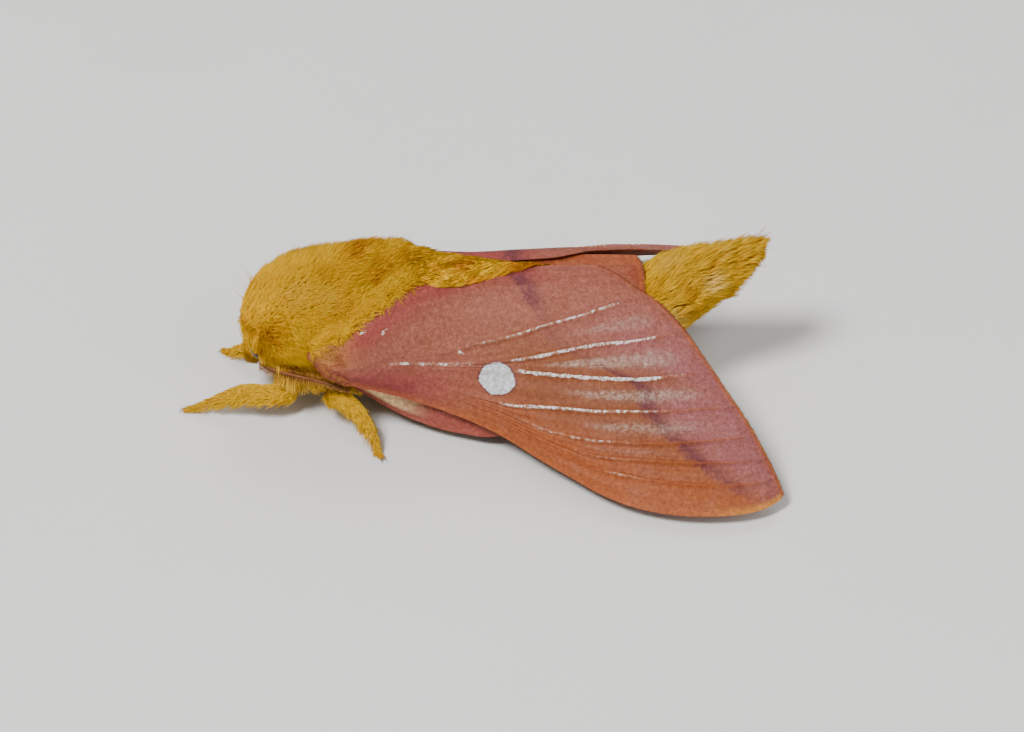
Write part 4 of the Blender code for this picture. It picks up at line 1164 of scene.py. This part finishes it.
def wing_top(t, s):
    """Height of the left forewing's upper side over a place, or 0 beside the wing."""
    w = np.linspace(0.0, 0.5, 40)
    line = roof(1, np.repeat(s[:, None], len(w), 1), w[None])
    nearest = np.argmin(np.abs(line[..., 0] - t[:, None]), axis=1)
    height = line[np.arange(len(s)), nearest, 2] + SHEET / 2
    return np.where(t > line[:, 0, 0], height, 0.0)


def coat_strip(material):
    """Long hair that runs back from the thorax between the wings and over the left one."""
    n = TUFTS["strip"]
    s = 9.8 + 7.6 * rng.random(n) ** 1.1
    across = rng.uniform(-1, 1, n)
    _, lot = clumps(s, across * interp(STRIP, s)[2], 0.5)
    length = rng.uniform(1.0, 1.7, n) * (1 - 0.35 * smooth((across - 0.3) / 0.5))
    points = []
    for r in RUN_LONG:
        here = s + length * r
        t, z, half = interp(STRIP, here)
        x = np.clip(across + lot[1] * 0.5 * r, -1.1, 1.1)
        rise = (0.42 + 0.2 * lot[2]) * r ** 0.7
        over = wing_top(t + x * half, here) + rise * 0.6 - 0.15
        points.append(stack(t + x * half, here, np.maximum(z - 0.35 + rise - 0.3 * x ** 2, over)))
    tone = rng.normal(0.5, 0.2, n) + lot[3] * 0.6
    uv = bake_place(STRIP_REGION, s, 0.5 * math.pi + across * 0.3)
    tuft_pieces("coat_strip", np.stack(points, 1), np.broadcast_to(UP, (n, 3)), vary(0.036, n),
                tone, uv, material, rust_more=0.1 + 0.8 * smooth((s - 14.5) / 2.0))


def loose_hairs(table, count, s_range, a_range, depth, lean_out, line, spread, reach, curl=0.0):
    """Stations, angles and paths of single hairs that stand out from a trunk."""
    s = rng.uniform(*s_range, count)
    a = rng.uniform(a_range[0] * math.pi, a_range[1] * math.pi, count)
    root = trunk_point(table, s, a, depth)
    out = unit(trunk_point(table, s, a, -0.5) - root)
    lean = unit(out * lean_out + line + rng.normal(0, spread, (count, 3)))
    length = rng.uniform(*reach, count)
    path = [root + lean * (length * r)[:, None] + out * curl * r * r for r in RUN_LONG]
    return s, a, np.stack(path, 1)


def stray_hairs(material):
    """A few thin loose hairs at the front of the thorax and dark ones at the tail."""
    s, a, front = loose_hairs(THORAX, 16, (0.55, 1.6), (0.15, 0.75), 0.3, 1.0,
                              np.array([0.0, -0.7, 0.1]), 0.25, (0.7, 1.25), 0.1)
    front_uv = bake_place(THORAX_REGION, s, a)
    s, a, tail = loose_hairs(ABDOMEN, 26, (30.2, 31.2), (-0.05, 0.9), 0.5, 0.45, TAIL_LINE, 0.22,
                             (1.1, 1.7))
    uv = np.concatenate([front_uv, bake_place(ABDOMEN_REGION, s, a)])
    dark = np.repeat([0.0, 1.0], [len(front), len(tail)])
    n = len(dark)
    normal = np.broadcast_to([0.1, 0.2, 0.97], (n, 3))
    tuft_pieces("coat_stray", np.concatenate([front, tail]), normal, np.full(n, 0.016),
                0.2 + 0.8 * dark, uv, material, (dark, 0.0), thick=0.9)


def abdomen_fur(s, a, depth):
    cover = smooth(np.sin(a) * 3 + 0.5) * smooth((25.2 - s) / 1.2)
    return trunk_point(ABDOMEN, s, a, depth + 0.35 * cover)


def coat_abdomen(material):
    """Shaggy hair, longest at the end where it stands straight back past the tip."""
    for part, s_range in (("front", (11.7, 22.5)), ("end", (22.0, 31.5))):
        s, a = scatter(TUFTS["abdomen_" + part], s_range, abdomen_skin)
        keep = ~inside_trunk(THORAX, abdomen_skin(s, a, ABDOMEN_CORE), 0.6)
        s, a = s[keep], a[keep]
        n = len(s)
        wide, tall, _ = interp(ABDOMEN, s)
        radius = np.maximum((wide + tall) / 2, 0.6)
        beside, lot = clumps(s, a * radius, 0.3)
        _, broad = clumps(s, a * radius, 0.8)
        end = smooth((s - 23.0) / 2.0)
        tail = smooth((s - 26.5) / 3.0)
        lock = smooth((lot[0] - 0.2) / 0.1)
        length = (1.25 - 0.3 * end + 0.6 * lock * end) * rng.uniform(0.7, 1.2, n)
        turn = beside * (0.6 + 0.6 * lock) + rng.normal(0, 0.35 - 0.2 * lock, n)
        turn = turn + lot[1] * (0.35 + 0.6 * end) + broad[1] * 0.5
        corner = np.exp(-((s - 25.6) / 1.1) ** 2) * smooth((-np.sin(a) - 0.1) / 0.5)
        below = smooth((-np.sin(a) + 0.2) / 0.8) * end
        tip = rng.normal(0.08, 0.09, n) + lot[2] * (0.2 + 0.1 * end) - 0.14 * lock * end
        tip = tip - 0.05 * corner + 0.3 * below + 0.25 * tail * smooth(np.sin(a) * 2)
        limit = TAIL_END - 1.1 + 1.1 * np.sin(a) + lot[3] * 0.5 + rng.normal(0, 0.1, n)
        length = np.minimum(length, np.maximum(limit - s, 0.35))
        depth = ABDOMEN_CORE + 0.1
        path, normal = grow(abdomen_fur, s, a, radius, length, turn, depth, tip)
        share = tail[:, None] * 0.85
        for i, r in enumerate(RUN_SHORT):
            rise = (depth - tip) * r ** 0.8
            straight = path[:, 0] + (length * r)[:, None] * TAIL_LINE + normal * rise[:, None]
            path[:, i] = path[:, i] * (1 - share) + straight * share
        tone = rng.normal(0.28, 0.2, n) + lot[3] * 0.5 + broad[3] * 0.3
        tuft_pieces("coat_abdomen_" + part, path, normal, vary(0.036, n), tone,
                    bake_place(ABDOMEN_REGION, s, a), material)


def coat_head(material):
    """Short hair over the head, clear of the eyes, that ends in a muzzle."""
    along, a = scatter(TUFTS["head"], (-1.5, 1.85), head_point)
    root = head_point(along, a, 0.1)
    keep = ~inside_trunk(THORAX, root, 0.35)
    for side, _ in SIDES:
        keep &= np.linalg.norm(root - EYE * MIRROR[side], axis=-1) > EYE_RADIUS + 0.08
    along, a = along[keep], a[keep]
    n = len(along)
    radius = np.maximum(interp(HEAD_PROFILE, along)[0], 0.4)
    _, lot = clumps(along, a * radius, 0.4)
    front = smooth((-np.sin(a) - 0.1) / 0.6)
    length = (0.7 + 0.45 * front) * rng.uniform(0.75, 1.2, n)
    length = np.minimum(length, np.maximum(2.45 - along, 0.35))
    turn = rng.normal(0, 0.15, n) + lot[1] * 0.5
    tip = -0.02 - 0.1 * front - 0.12 * smooth((along - 0.3) / 0.8) + rng.normal(0, 0.06, n)
    path, normal = grow(head_point, along, a, radius, length, turn, HEAD_CORE + 0.05, tip)
    width = vary(0.032, n)
    tone = rng.normal(0.5, 0.18, n) + lot[3] * 0.4
    uv = bake_place(HEAD_REGION, along, a)
    tuft_pieces("coat_head", path, normal, width, tone, uv, material)


def coat_brow(material):
    """Forelock that parts at the thorax's front and hangs over the head and the eyes' rims."""
    n = TUFTS["brow"]
    reach = 2.0 * np.sqrt(rng.random(n))
    turn = rng.uniform(0, TURN, n)
    t = reach * np.cos(turn)
    z = reach * np.sin(turn)
    low, high = BROW_HEIGHTS
    keep = (z < high) & (z > low)
    t, z = t[keep], z[keep]
    n = len(t)
    half = [(row[1], row[0]) for row in THORAX[:5]]
    s = interp(half, np.maximum(np.hypot(t, z), 0.8))[0]
    root = stack(t, s + THORAX_CORE + 0.05, THORAX[0][3] + z)
    out = unit(stack(0.45 * t, -1.0, 0.3 * z))
    _, lot = clumps(t, z, 0.3)
    aside = np.abs(np.abs(t) - EYE[0])
    length = (0.745 + 0.25 * lot[0]) * rng.uniform(0.75, 1.2, n)
    length = length * (1 - 0.25 * smooth(1.4 - aside / 0.6) * smooth((0.2 - z) / 0.7))
    pole = np.exp(-(np.hypot(t, z - 0.15) / 0.6) ** 2)
    fall = stack(0.12 * t, 0.3 - 0.3 * pole, -0.95)
    fall = fall + rng.normal(0, 0.16, (n, 3)) + lot[1][:, None] * np.array([0.8, 0.0, 0.2])
    fall = unit(fall)
    points = []
    for r in RUN_LONG:
        swell = (THORAX_CORE - 0.05 + 0.14 * lot[2] + 0.24 * pole) * r ** 0.55
        points.append(root + fall * (length * r)[:, None] + out * swell[:, None])
    tone = rng.normal(0.35, 0.2, n) + lot[3] * 0.5
    uv = bake_place(BROW_REGION, z, np.arctan2(z, t))
    tuft_pieces("coat_brow", np.stack(points, 1), out, vary(0.03, n), tone, uv, material)


def coat_legs(material):
    """Short sleek fur on each leg, longer in a ragged fringe along its lower edge."""
    for name, path_rows in LEGS.items():
        last = len(path_rows) - 1.0
        surface = partial(leg_point, name)
        run, a = scatter(TUFTS["leg"], (0.2, last - 0.15), surface)
        keep = ~inside_trunk(THORAX, surface(run, a, 0.1), 0.5)
        run, a = run[keep], a[keep]
        n = len(run)
        ahead = surface(run + 0.1, a, 0.1) - surface(run - 0.1, a, 0.1)
        step = np.maximum(np.linalg.norm(ahead, axis=-1) / 0.2, 0.3)
        _, lot = clumps(run * step, a * 0.5, 0.22)
        upper = smooth((last - 1.4 - run) / 1.6)
        below = smooth((-np.sin(a) + 0.1) / 0.6) * upper * rng.uniform(0.3, 1.0, n)
        length = (0.3 + 0.16 * upper + 0.35 * below) * rng.uniform(0.75, 1.25, n)
        turn = rng.normal(0, 0.2, n) + lot[1] * 0.5 * upper
        tip = 0.02 - 0.4 * below * (1 + lot[2]) + rng.normal(0, 0.03, n) * (0.3 + upper)
        points = []
        for r in RUN_SHORT:
            depth = 0.13 + (tip - 0.13) * r ** 0.8
            points.append(surface(run + length * r / step, a + turn * r, depth))
        path = np.stack(points, 1)
        path[..., 2] = np.maximum(path[..., 2], 0.04)
        normal = unit(surface(run, a, -0.3) - surface(run, a, 0.1))
        width = vary(0.022 + 0.006 * upper, n)
        tone = 0.08 + 0.3 * (1 - upper) + rng.normal(0, 0.12, n) + lot[3] * 0.2
        uv = bake_place(LEG_REGIONS[name], run, a)
        tuft_pieces("coat_" + name, path, normal, width, tone, uv, material, (0.0, 0.05 * upper))


# Wings

# Columns of points in each field between two veins, and rows of points along a wing
FIELD_COLUMNS = 13
FORE_ROWS = 230
HIND_ROWS = 140
# Share of a forewing that its rounded root takes, and the depth the root sinks to
ROOT_ROUND = 0.045
ROOT_SINK = 0.3
# Height and width of the veins, depth of the pleats and of the waves, width of the thin rim
FORE_VEIN_HEIGHT = 0.16
HIND_VEIN_HEIGHT = 0.07
VEIN_WIDTH = 0.13
PLEAT_DEPTH = 0.11
WAVE_DEPTH = 0.03
RIM_WIDTH = 0.9


def wing_columns(veins, v):
    """Places across a wing in lines that follow its veins, for each fraction along it.

    Gives u and, for each column, its field, the share of the way to the field's middle, the
    nearer vein and the way to that vein as a share of the width.
    """
    last = len(veins)
    crests = [np.zeros_like(v)] + [interp(vein, v)[0] for vein in veins] + [np.ones_like(v)]
    crests = np.stack(crests, -1)
    steps = 0.5 - 0.5 * np.cos(np.arange(FIELD_COLUMNS) / FIELD_COLUMNS * math.pi)
    field = np.append(np.repeat(np.arange(last + 1), FIELD_COLUMNS), last)
    f = np.append(np.tile(steps, last + 1), 1.0)
    u = crests[:, field] + (crests[:, field + 1] - crests[:, field]) * f
    line = np.clip(np.where(f < 0.5, field, field + 1), 1, last)
    return u, field, 2 * np.minimum(f, 1 - f), line - 1, np.abs(u - crests[:, line])


def stretch(table, v, count):
    """Strength along a wing for each vein or field of a table, and how far its pale band of painted
    sheen spreads.
    """
    strength = np.zeros(v.shape + (count,))
    spread = np.full(v.shape + (count,), 0.5)
    for number, start, full, still, end, peak in table:
        here = peak * smooth((v - start) / (full - start)) * smooth((end - v) / (end - still))
        strength[:, number] = np.maximum(strength[:, number], here)
        spread[:, number] = 0.3 + 0.4 * smooth((v - start) / (still - start))
    return strength, spread


def round_root(u, v):
    """Draws the places across a forewing together at its rounded root."""
    share = np.sqrt(1 - (1 - np.minimum(v / ROOT_ROUND, 1)) ** 2)
    return 0.5 + (u - 0.5) * (0.5 + 0.5 * share)


def root_sink(v):
    return ROOT_SINK * (1 - smooth(v / ROOT_ROUND))


def spot_distance(side, points):
    """Distance past the rim of the slightly uneven white spot, as a share of its size."""
    station = np.array(SPOT[0])
    middle = roof(side, station, SPOT[1])
    along_body = unit(roof(side, station + 0.1, SPOT[1]) - middle)
    down_wing = np.cross(roof_normal(side, station, SPOT[1]), along_body)
    x = (points - middle) @ along_body / SPOT_HALF[0]
    y = (points - middle) @ down_wing / SPOT_HALF[1]
    turn = np.arctan2(y, x)
    return np.hypot(x, y) / (1 + 0.02 * np.cos(4 * turn + 0.6) + 0.02 * np.cos(7 * turn)) - 1


def sheet_faces(rows, columns):
    """Polygons of a closed sheet: its upper grid, its lower one and the wall between them."""
    index = np.arange(rows * columns).reshape(rows, columns)
    a = index[:-1, :-1].ravel()
    b = index[:-1, 1:].ravel()
    c = index[1:, 1:].ravel()
    d = index[1:, :-1].ravel()
    far = rows * columns
    loop = np.concatenate([index[0], index[1:, -1], index[-1, :-1][::-1], index[1:-1, 0][::-1]])
    after = np.roll(loop, -1)
    wall = np.stack([after, loop, loop + far, after + far], -1)
    return np.concatenate([np.stack([a, b, c, d], -1), np.stack([a, d, c, b], -1) + far, wall])


def wing_solid(name, side, point_at, veins, rows, vein_height, material, slot_name, node):
    """Thin wing with raised veins, soft pleats between them and its marks as values, painted glints
    and sheen among them.
    """
    fore = veins is FORE_VEINS
    along = np.linspace(0, 1, rows)
    u, field, share, line, to_vein = wing_columns(veins, along)
    if fore and side < 0:
        flap = np.linspace(-1, 0, FLAP_COLUMNS, endpoint=False)
        u = np.concatenate([np.repeat(flap[None], rows, 0), u], 1)
        before = np.zeros(FLAP_COLUMNS, int)
        field = np.append(before, field)
        share = np.append(before, share)
        line = np.append(before, line)
        to_vein = np.concatenate([np.ones((rows, FLAP_COLUMNS)), to_vein], 1)
    v = np.repeat(along[:, None], u.shape[1], 1)
    if fore:
        u = np.where(u < 0, u, round_root(u, v))
    p, n, s = point_at(side, u, v)
    p = p - n * root_sink(v)[..., None]
    first_edge = point_at(side, np.zeros(rows), along)[0]
    width = np.linalg.norm(point_at(side, np.ones(rows), along)[0] - first_edge, axis=-1)[:, None]
    length = np.linalg.norm(p[-1] - p[0], axis=-1)[None, :]
    near = to_vein * width
    edge = (1 - v) * length
    costa = (1 - u) * width
    root = v * length
    first = u[:, :1]
    flat = np.where(u < 0, u - first, np.maximum(-first, 0)) * FLAP_WIDTH
    inner = flat + np.maximum(u, 0) * width
    rim = smooth(np.minimum(np.minimum(edge, costa), inner) / RIM_WIDTH)
    fade = (0.1 + 0.9 * smooth((v - 0.3) / 0.3)) * (1 - 0.6 * smooth((v - 0.85) / 0.15))
    fade = fade * np.where(line == 0, 0.3, np.where(line > 4, smooth((v - 0.45) / 0.3), 1.0))
    ridge = vein_height * np.exp(-(near / VEIN_WIDTH) ** 2) * fade
    pleat = -PLEAT_DEPTH * np.sin(math.pi * share)[None, :] * smooth((v - 0.2) / 0.3) * rim
    wave = WAVE_DEPTH * np.sin(root * 1.3 + u * 9.0) * np.sin(root * 0.47 + u * 21.0) * rim
    top = p + n * (0.02 + (SHEET / 2 - 0.05) * rim + ridge + pleat + wave)[..., None]
    under = p - n * (0.04 + 0.05 * rim - 0.5 * ridge - pleat - wave)[..., None]
    points = np.concatenate([top.reshape(-1, 3), under.reshape(-1, 3)]) * MIRROR[side]
    faces = sheet_faces(rows, u.shape[1])
    obj = array_piece(name, points, faces if side > 0 else faces[:, ::-1], material)

    def nearest(marks):
        away = [np.hypot(s - station, (u - across) * width) / radius
                for across, station, radius in marks]
        return np.minimum(np.min(away, axis=0), 9.0)

    values = {"edge": edge, "costa": costa, "inner": inner, "root": root}
    if fore:
        # Painted highlights: the glints and bright dots on the veins
        glint, _ = stretch(GLINTS, along, len(FORE_VEINS))
        # Painted sheen over the thinly scaled pale streaks between the veins
        sheen_streak, spread = stretch(SHEEN_STREAKS, along, len(FORE_VEINS) + 1)
        spread = spread[:, field]
        sheen_streak = sheen_streak[:, field] * smooth((share - 1 + spread) / spread)
        values.update({"vein": near, "across": np.maximum(u, 0), "spot": spot_distance(side, p),
                       "purple": s - interp(PURPLE_LINE, u)[0], "speck": nearest(SPECKS),
                       "glint_dot": nearest(GLINT_DOTS), "glint": glint[:, line], "sheen_streak": sheen_streak})
    for key, value in values.items():
        add_value(obj, key, np.tile(np.broadcast_to(value, u.shape).ravel(), 2))
    finish_piece(obj, slot_name, node)


def build_wings(fore_material, hind_material):
    for side, word in SIDES:
        wing_solid("wing_fore_" + word, side, fore_point, FORE_VEINS, FORE_ROWS, FORE_VEIN_HEIGHT,
                   fore_material, "forewing", "forewing_" + word)
        wing_solid("wing_hind_" + word, side, hind_point, HIND_VEINS, HIND_ROWS, HIND_VEIN_HEIGHT,
                   hind_material, "hindwing", "hindwing_" + word)


def wing_fringe(material):
    """Rows of narrow scales that stand out from the wings' free edges."""
    for side, word in SIDES:
        for wing, point_at in (("fore", fore_point), ("hind", hind_point)):
            n = TUFTS["fringe_" + wing]
            u = np.sort(rng.uniform(0.01, 0.99, n))
            p, up, _ = point_at(side, u, np.ones(n))
            out = unit(p - point_at(side, u, np.full(n, 0.98))[0])
            across = unit(point_at(side, np.clip(u + 0.01, 0, 1), np.ones(n))[0] - p)
            out = unit(out - across * (out * across).sum(-1, keepdims=True) * 0.8)
            length = 0.26 * rng.uniform(0.6, 1.25, n)
            lean = out + across * rng.normal(0, 0.12, n)[:, None]
            lean = unit(lean + up * rng.normal(0, 0.1, n)[:, None])
            start = p - out * 0.12
            path = np.stack([start + lean * (length * r)[:, None] for r in RUN_SHORT], 1)
            width = vary(0.034, n, 1.2)
            uv = bake_place(WING_REGION, u, 0.5 * TURN)
            tuft_pieces(f"fringe_{wing}_{word}", path * MIRROR[side], up * MIRROR[side], width,
                        rng.uniform(0, 1, n), uv, material, (smooth((0.38 - u) / 0.15), 0.0),
                        thick=0.35, slot_name=wing + "wing")


def wing_shoulder(material):
    """Scaly hair over the roots of the forewings."""
    for side, word in SIDES:
        n = TUFTS["shoulder"]
        u = rng.uniform(0.03, 0.97, n)
        v = 0.075 * rng.random(n) ** 1.4
        _, lot = clumps(u * 3.0, v * 20.0, 0.6)
        u = round_root(u, v)
        drift = rng.normal(0, 0.04, n) + lot[1] * 0.12
        reach = rng.uniform(0.01, 0.024, n)
        points = []
        for r in RUN_SHORT:
            there = v + reach * r
            base, up, _ = fore_point(side, np.clip(u + drift * r, 0.0, 1.0), there)
            lift = 0.12 + (0.15 + 0.06 * lot[2]) * r ** 0.5 - root_sink(there)
            points.append(base + up * lift[:, None])
        normal = fore_point(side, np.clip(u, 0, 1), v)[1] * MIRROR[side]
        tone = rng.normal(0.4, 0.2, n) + lot[3] * 0.5 + (u - 0.5) * 0.9
        pale = np.clip(0.5 - u, 0, 1) * (1 + lot[0])
        uv = bake_place(WING_REGION, v * 5, u * 5)
        tuft_pieces("coat_shoulder_" + word, np.stack(points, 1) * MIRROR[side], normal,
                    vary(0.026, n), tone, uv, material, (0.0, pale), thick=0.5,
                    slot_name="forewing")


# Small parts

def build_eyes(material):
    angle = round_turn(64)
    circle = np.stack([np.cos(angle), np.sin(angle), 0 * angle], -1)
    for side, word in SIDES:
        centre = EYE * MIRROR[side]
        rings = [centre + EYE_RADIUS * (math.sin(phi) * circle - math.cos(phi) * UP)
                 for phi in np.linspace(0.02, math.pi - 0.02, 40)]
        finish_piece(closed_piece("eye_ball_" + word, rings, material), "eye", "eye_" + word)


def tube_rings(path, radius, count=10):
    """Rings round a path."""
    ahead = unit(np.gradient(path, axis=0))
    side = unit(np.cross(ahead, UP))
    up = np.cross(side, ahead)
    angle = round_turn(count)[:, None]
    return [p + r * (np.cos(angle) * a + np.sin(angle) * b)
            for p, a, b, r in zip(path, side, up, radius)]


FEELER_JOINTS = 56
JOINT_ROWS = 6
FEELER_RADIUS = 0.15
FEELER_TAPER = 0.09
JOINT_SWELL = 0.16
# Teeth of the comb on each side of a joint: their tilts, and half the width of one
COMB_TILTS = (0.9, 0.35, -0.2, -0.7)
COMB_HALF_WIDTH = 0.026
CLAW_LENGTH = 0.3
CLAW_RADIUS = 0.045


def build_antennae(stem_material, hair_material):
    """Feelers of short joints with two rows of fine comb teeth that fade to the tip."""
    rows = [(i,) + p for i, p in enumerate(ANTENNA)]
    for side, word in SIDES:
        steps = np.linspace(0, len(ANTENNA) - 1.0, FEELER_JOINTS * JOINT_ROWS + 1)
        t, s, z = interp(rows, steps)
        path = stack(t * side, s, z)
        bead = 1 + JOINT_SWELL * np.cos(np.arange(len(steps)) / JOINT_ROWS * TURN)
        radius = FEELER_RADIUS - FEELER_TAPER * steps / steps[-1]
        rings = tube_rings(path, radius * bead)
        finish_piece(closed_piece("feeler_" + word, rings, stem_material), "antenna",
                     "antenna_" + word)
        hairs = []
        normals = []
        for k in range(FEELER_JOINTS):
            at = k * JOINT_ROWS + JOINT_ROWS // 2
            ahead = unit(path[at + 2] - path[at - 2])
            flank = unit(np.cross(ahead, UP))
            up = np.cross(flank, ahead)
            full = 0.46 * smooth(1.25 - 1.1 * k / FEELER_JOINTS) + 0.14
            for way in (1, -1):
                for tilt in COMB_TILTS:
                    reach = unit(flank * way + up * tilt + ahead * 0.45)
                    reach = reach * full * rng.uniform(0.65, 1.15)
                    start = path[at] + flank * way * 0.04
                    hairs.append([start, start + reach * 0.55 + up * 0.02, start + reach])
                    normals.append(up)
        n = len(hairs)
        uv = bake_place(WING_REGION, np.linspace(0, 0.4, n), 0.1)
        tuft_pieces("comb_" + word, np.array(hairs), np.array(normals), np.full(n, COMB_HALF_WIDTH),
                    rng.uniform(0, 1, n), uv, hair_material, (0.0, 0.0), thick=0.9,
                    slot_name="antenna")


def build_claws(material):
    """A pair of small hooked claws at the end of each leg."""
    run = np.linspace(0, 1, 12)
    for name, rows in LEGS.items():
        end = np.array(rows[-1][:3])
        ahead = unit(end - np.array(rows[-2][:3]))
        flank = unit(np.cross(ahead, UP))
        for way, letter in ((1, "a"), (-1, "b")):
            aside = flank * (way * (0.07 + 0.09 * run))[:, None]
            path = end + ahead * (run * CLAW_LENGTH - 0.06)[:, None] + aside
            path[:, 2] = 0.2 + 0.03 * np.sin(run * math.pi) - 0.15 * run ** 2
            rings = tube_rings(path, CLAW_RADIUS * (1 - run) + 0.006, 8)
            finish_piece(closed_piece(f"claw_{name[4:]}_{letter}", rings, material), "antenna")


# Stage

FLOOR_HALF = 2.0
CLIP_START = 0.005
# Lamps: azimuth, elevation, distance and size in metres, energy
LAMPS = {
    "key": (50.0, 55.0, 0.5, 0.14, 3.3),
    "fill": (130.0, 35.0, 0.6, 0.4, 0.9),
    "rim": (260.0, 50.0, 0.6, 0.3, 1.1),
}
WORLD_STRENGTH = 0.28


def aim(obj, azimuth, elevation, distance, target=(0.0, 0.0, 0.0)):
    """Sets an object at a distance from a target, looking at it."""
    a = math.radians(azimuth)
    e = math.radians(elevation)
    back = Vector((math.sin(a) * math.cos(e), -math.cos(a) * math.cos(e), math.sin(e)))
    obj.location = Vector(target) + back * distance
    obj.rotation_mode = "QUATERNION"
    obj.rotation_quaternion = (-back).to_track_quat("-Z", "Y")


def build_camera():
    data = bpy.data.cameras.new("camera")
    data.sensor_width = SENSOR
    data.lens = SENSOR * VIEW_SCALE * VIEW_DISTANCE / IMAGE_WIDTH
    data.clip_start = CLIP_START
    camera = link("camera", data)
    aim(camera, VIEW_AZIMUTH, VIEW_ELEVATION, VIEW_DISTANCE * MM, place(VIEW_TARGET))
    bpy.context.scene.camera = camera


def area_light(name, azimuth, elevation, distance, size, energy):
    data = bpy.data.lights.new(name, "AREA")
    data.shape = "DISK"
    data.size = size
    data.energy = energy
    aim(link(name, data), azimuth, elevation, distance)


def build_stage():
    mesh = bpy.data.meshes.new("floor")
    half = FLOOR_HALF
    mesh.from_pydata([(-half, -half, 0), (half, -half, 0), (half, half, 0), (-half, half, 0)], [],
                     [(0, 1, 2, 3)])
    mesh.materials.append(plain_material("floor", (0.74, 0.73, 0.71), (0.78, 0.77, 0.75), 0.9,
                                         60.0))
    link("floor", mesh)
    for name, settings in LAMPS.items():
        area_light(name, *settings)
    world = bpy.data.worlds.new("world")
    world.use_nodes = True
    background = world.node_tree.nodes["Background"].inputs
    background["Color"].default_value = (1.0, 1.0, 1.0, 1.0)
    background["Strength"].default_value = WORLD_STRENGTH
    bpy.context.scene.world = world


def build():
    build_camera()
    build_stage()
    fur = fur_material("fur")
    build_skin(skin_material())
    for coat in (coat_thorax, coat_wing_edge, coat_breast, coat_strip, stray_hairs, coat_abdomen,
                 coat_head, coat_brow, coat_legs):
        coat(fur)
    build_wings(forewing_material(), hindwing_material())
    wing_fringe(fur_material("fringe"))
    wing_shoulder(fur_material("shoulder"))
    build_eyes(eye_material())
    stem = plain_material("feeler", (0.17, 0.05, 0.013), (0.28, 0.1, 0.025), 0.55, 9000.0, 0.00003)
    build_antennae(stem, fur_material("comb"))
    build_claws(plain_material("claw", (0.12, 0.06, 0.03), (0.28, 0.17, 0.09), 0.3, 6000.0))


build()
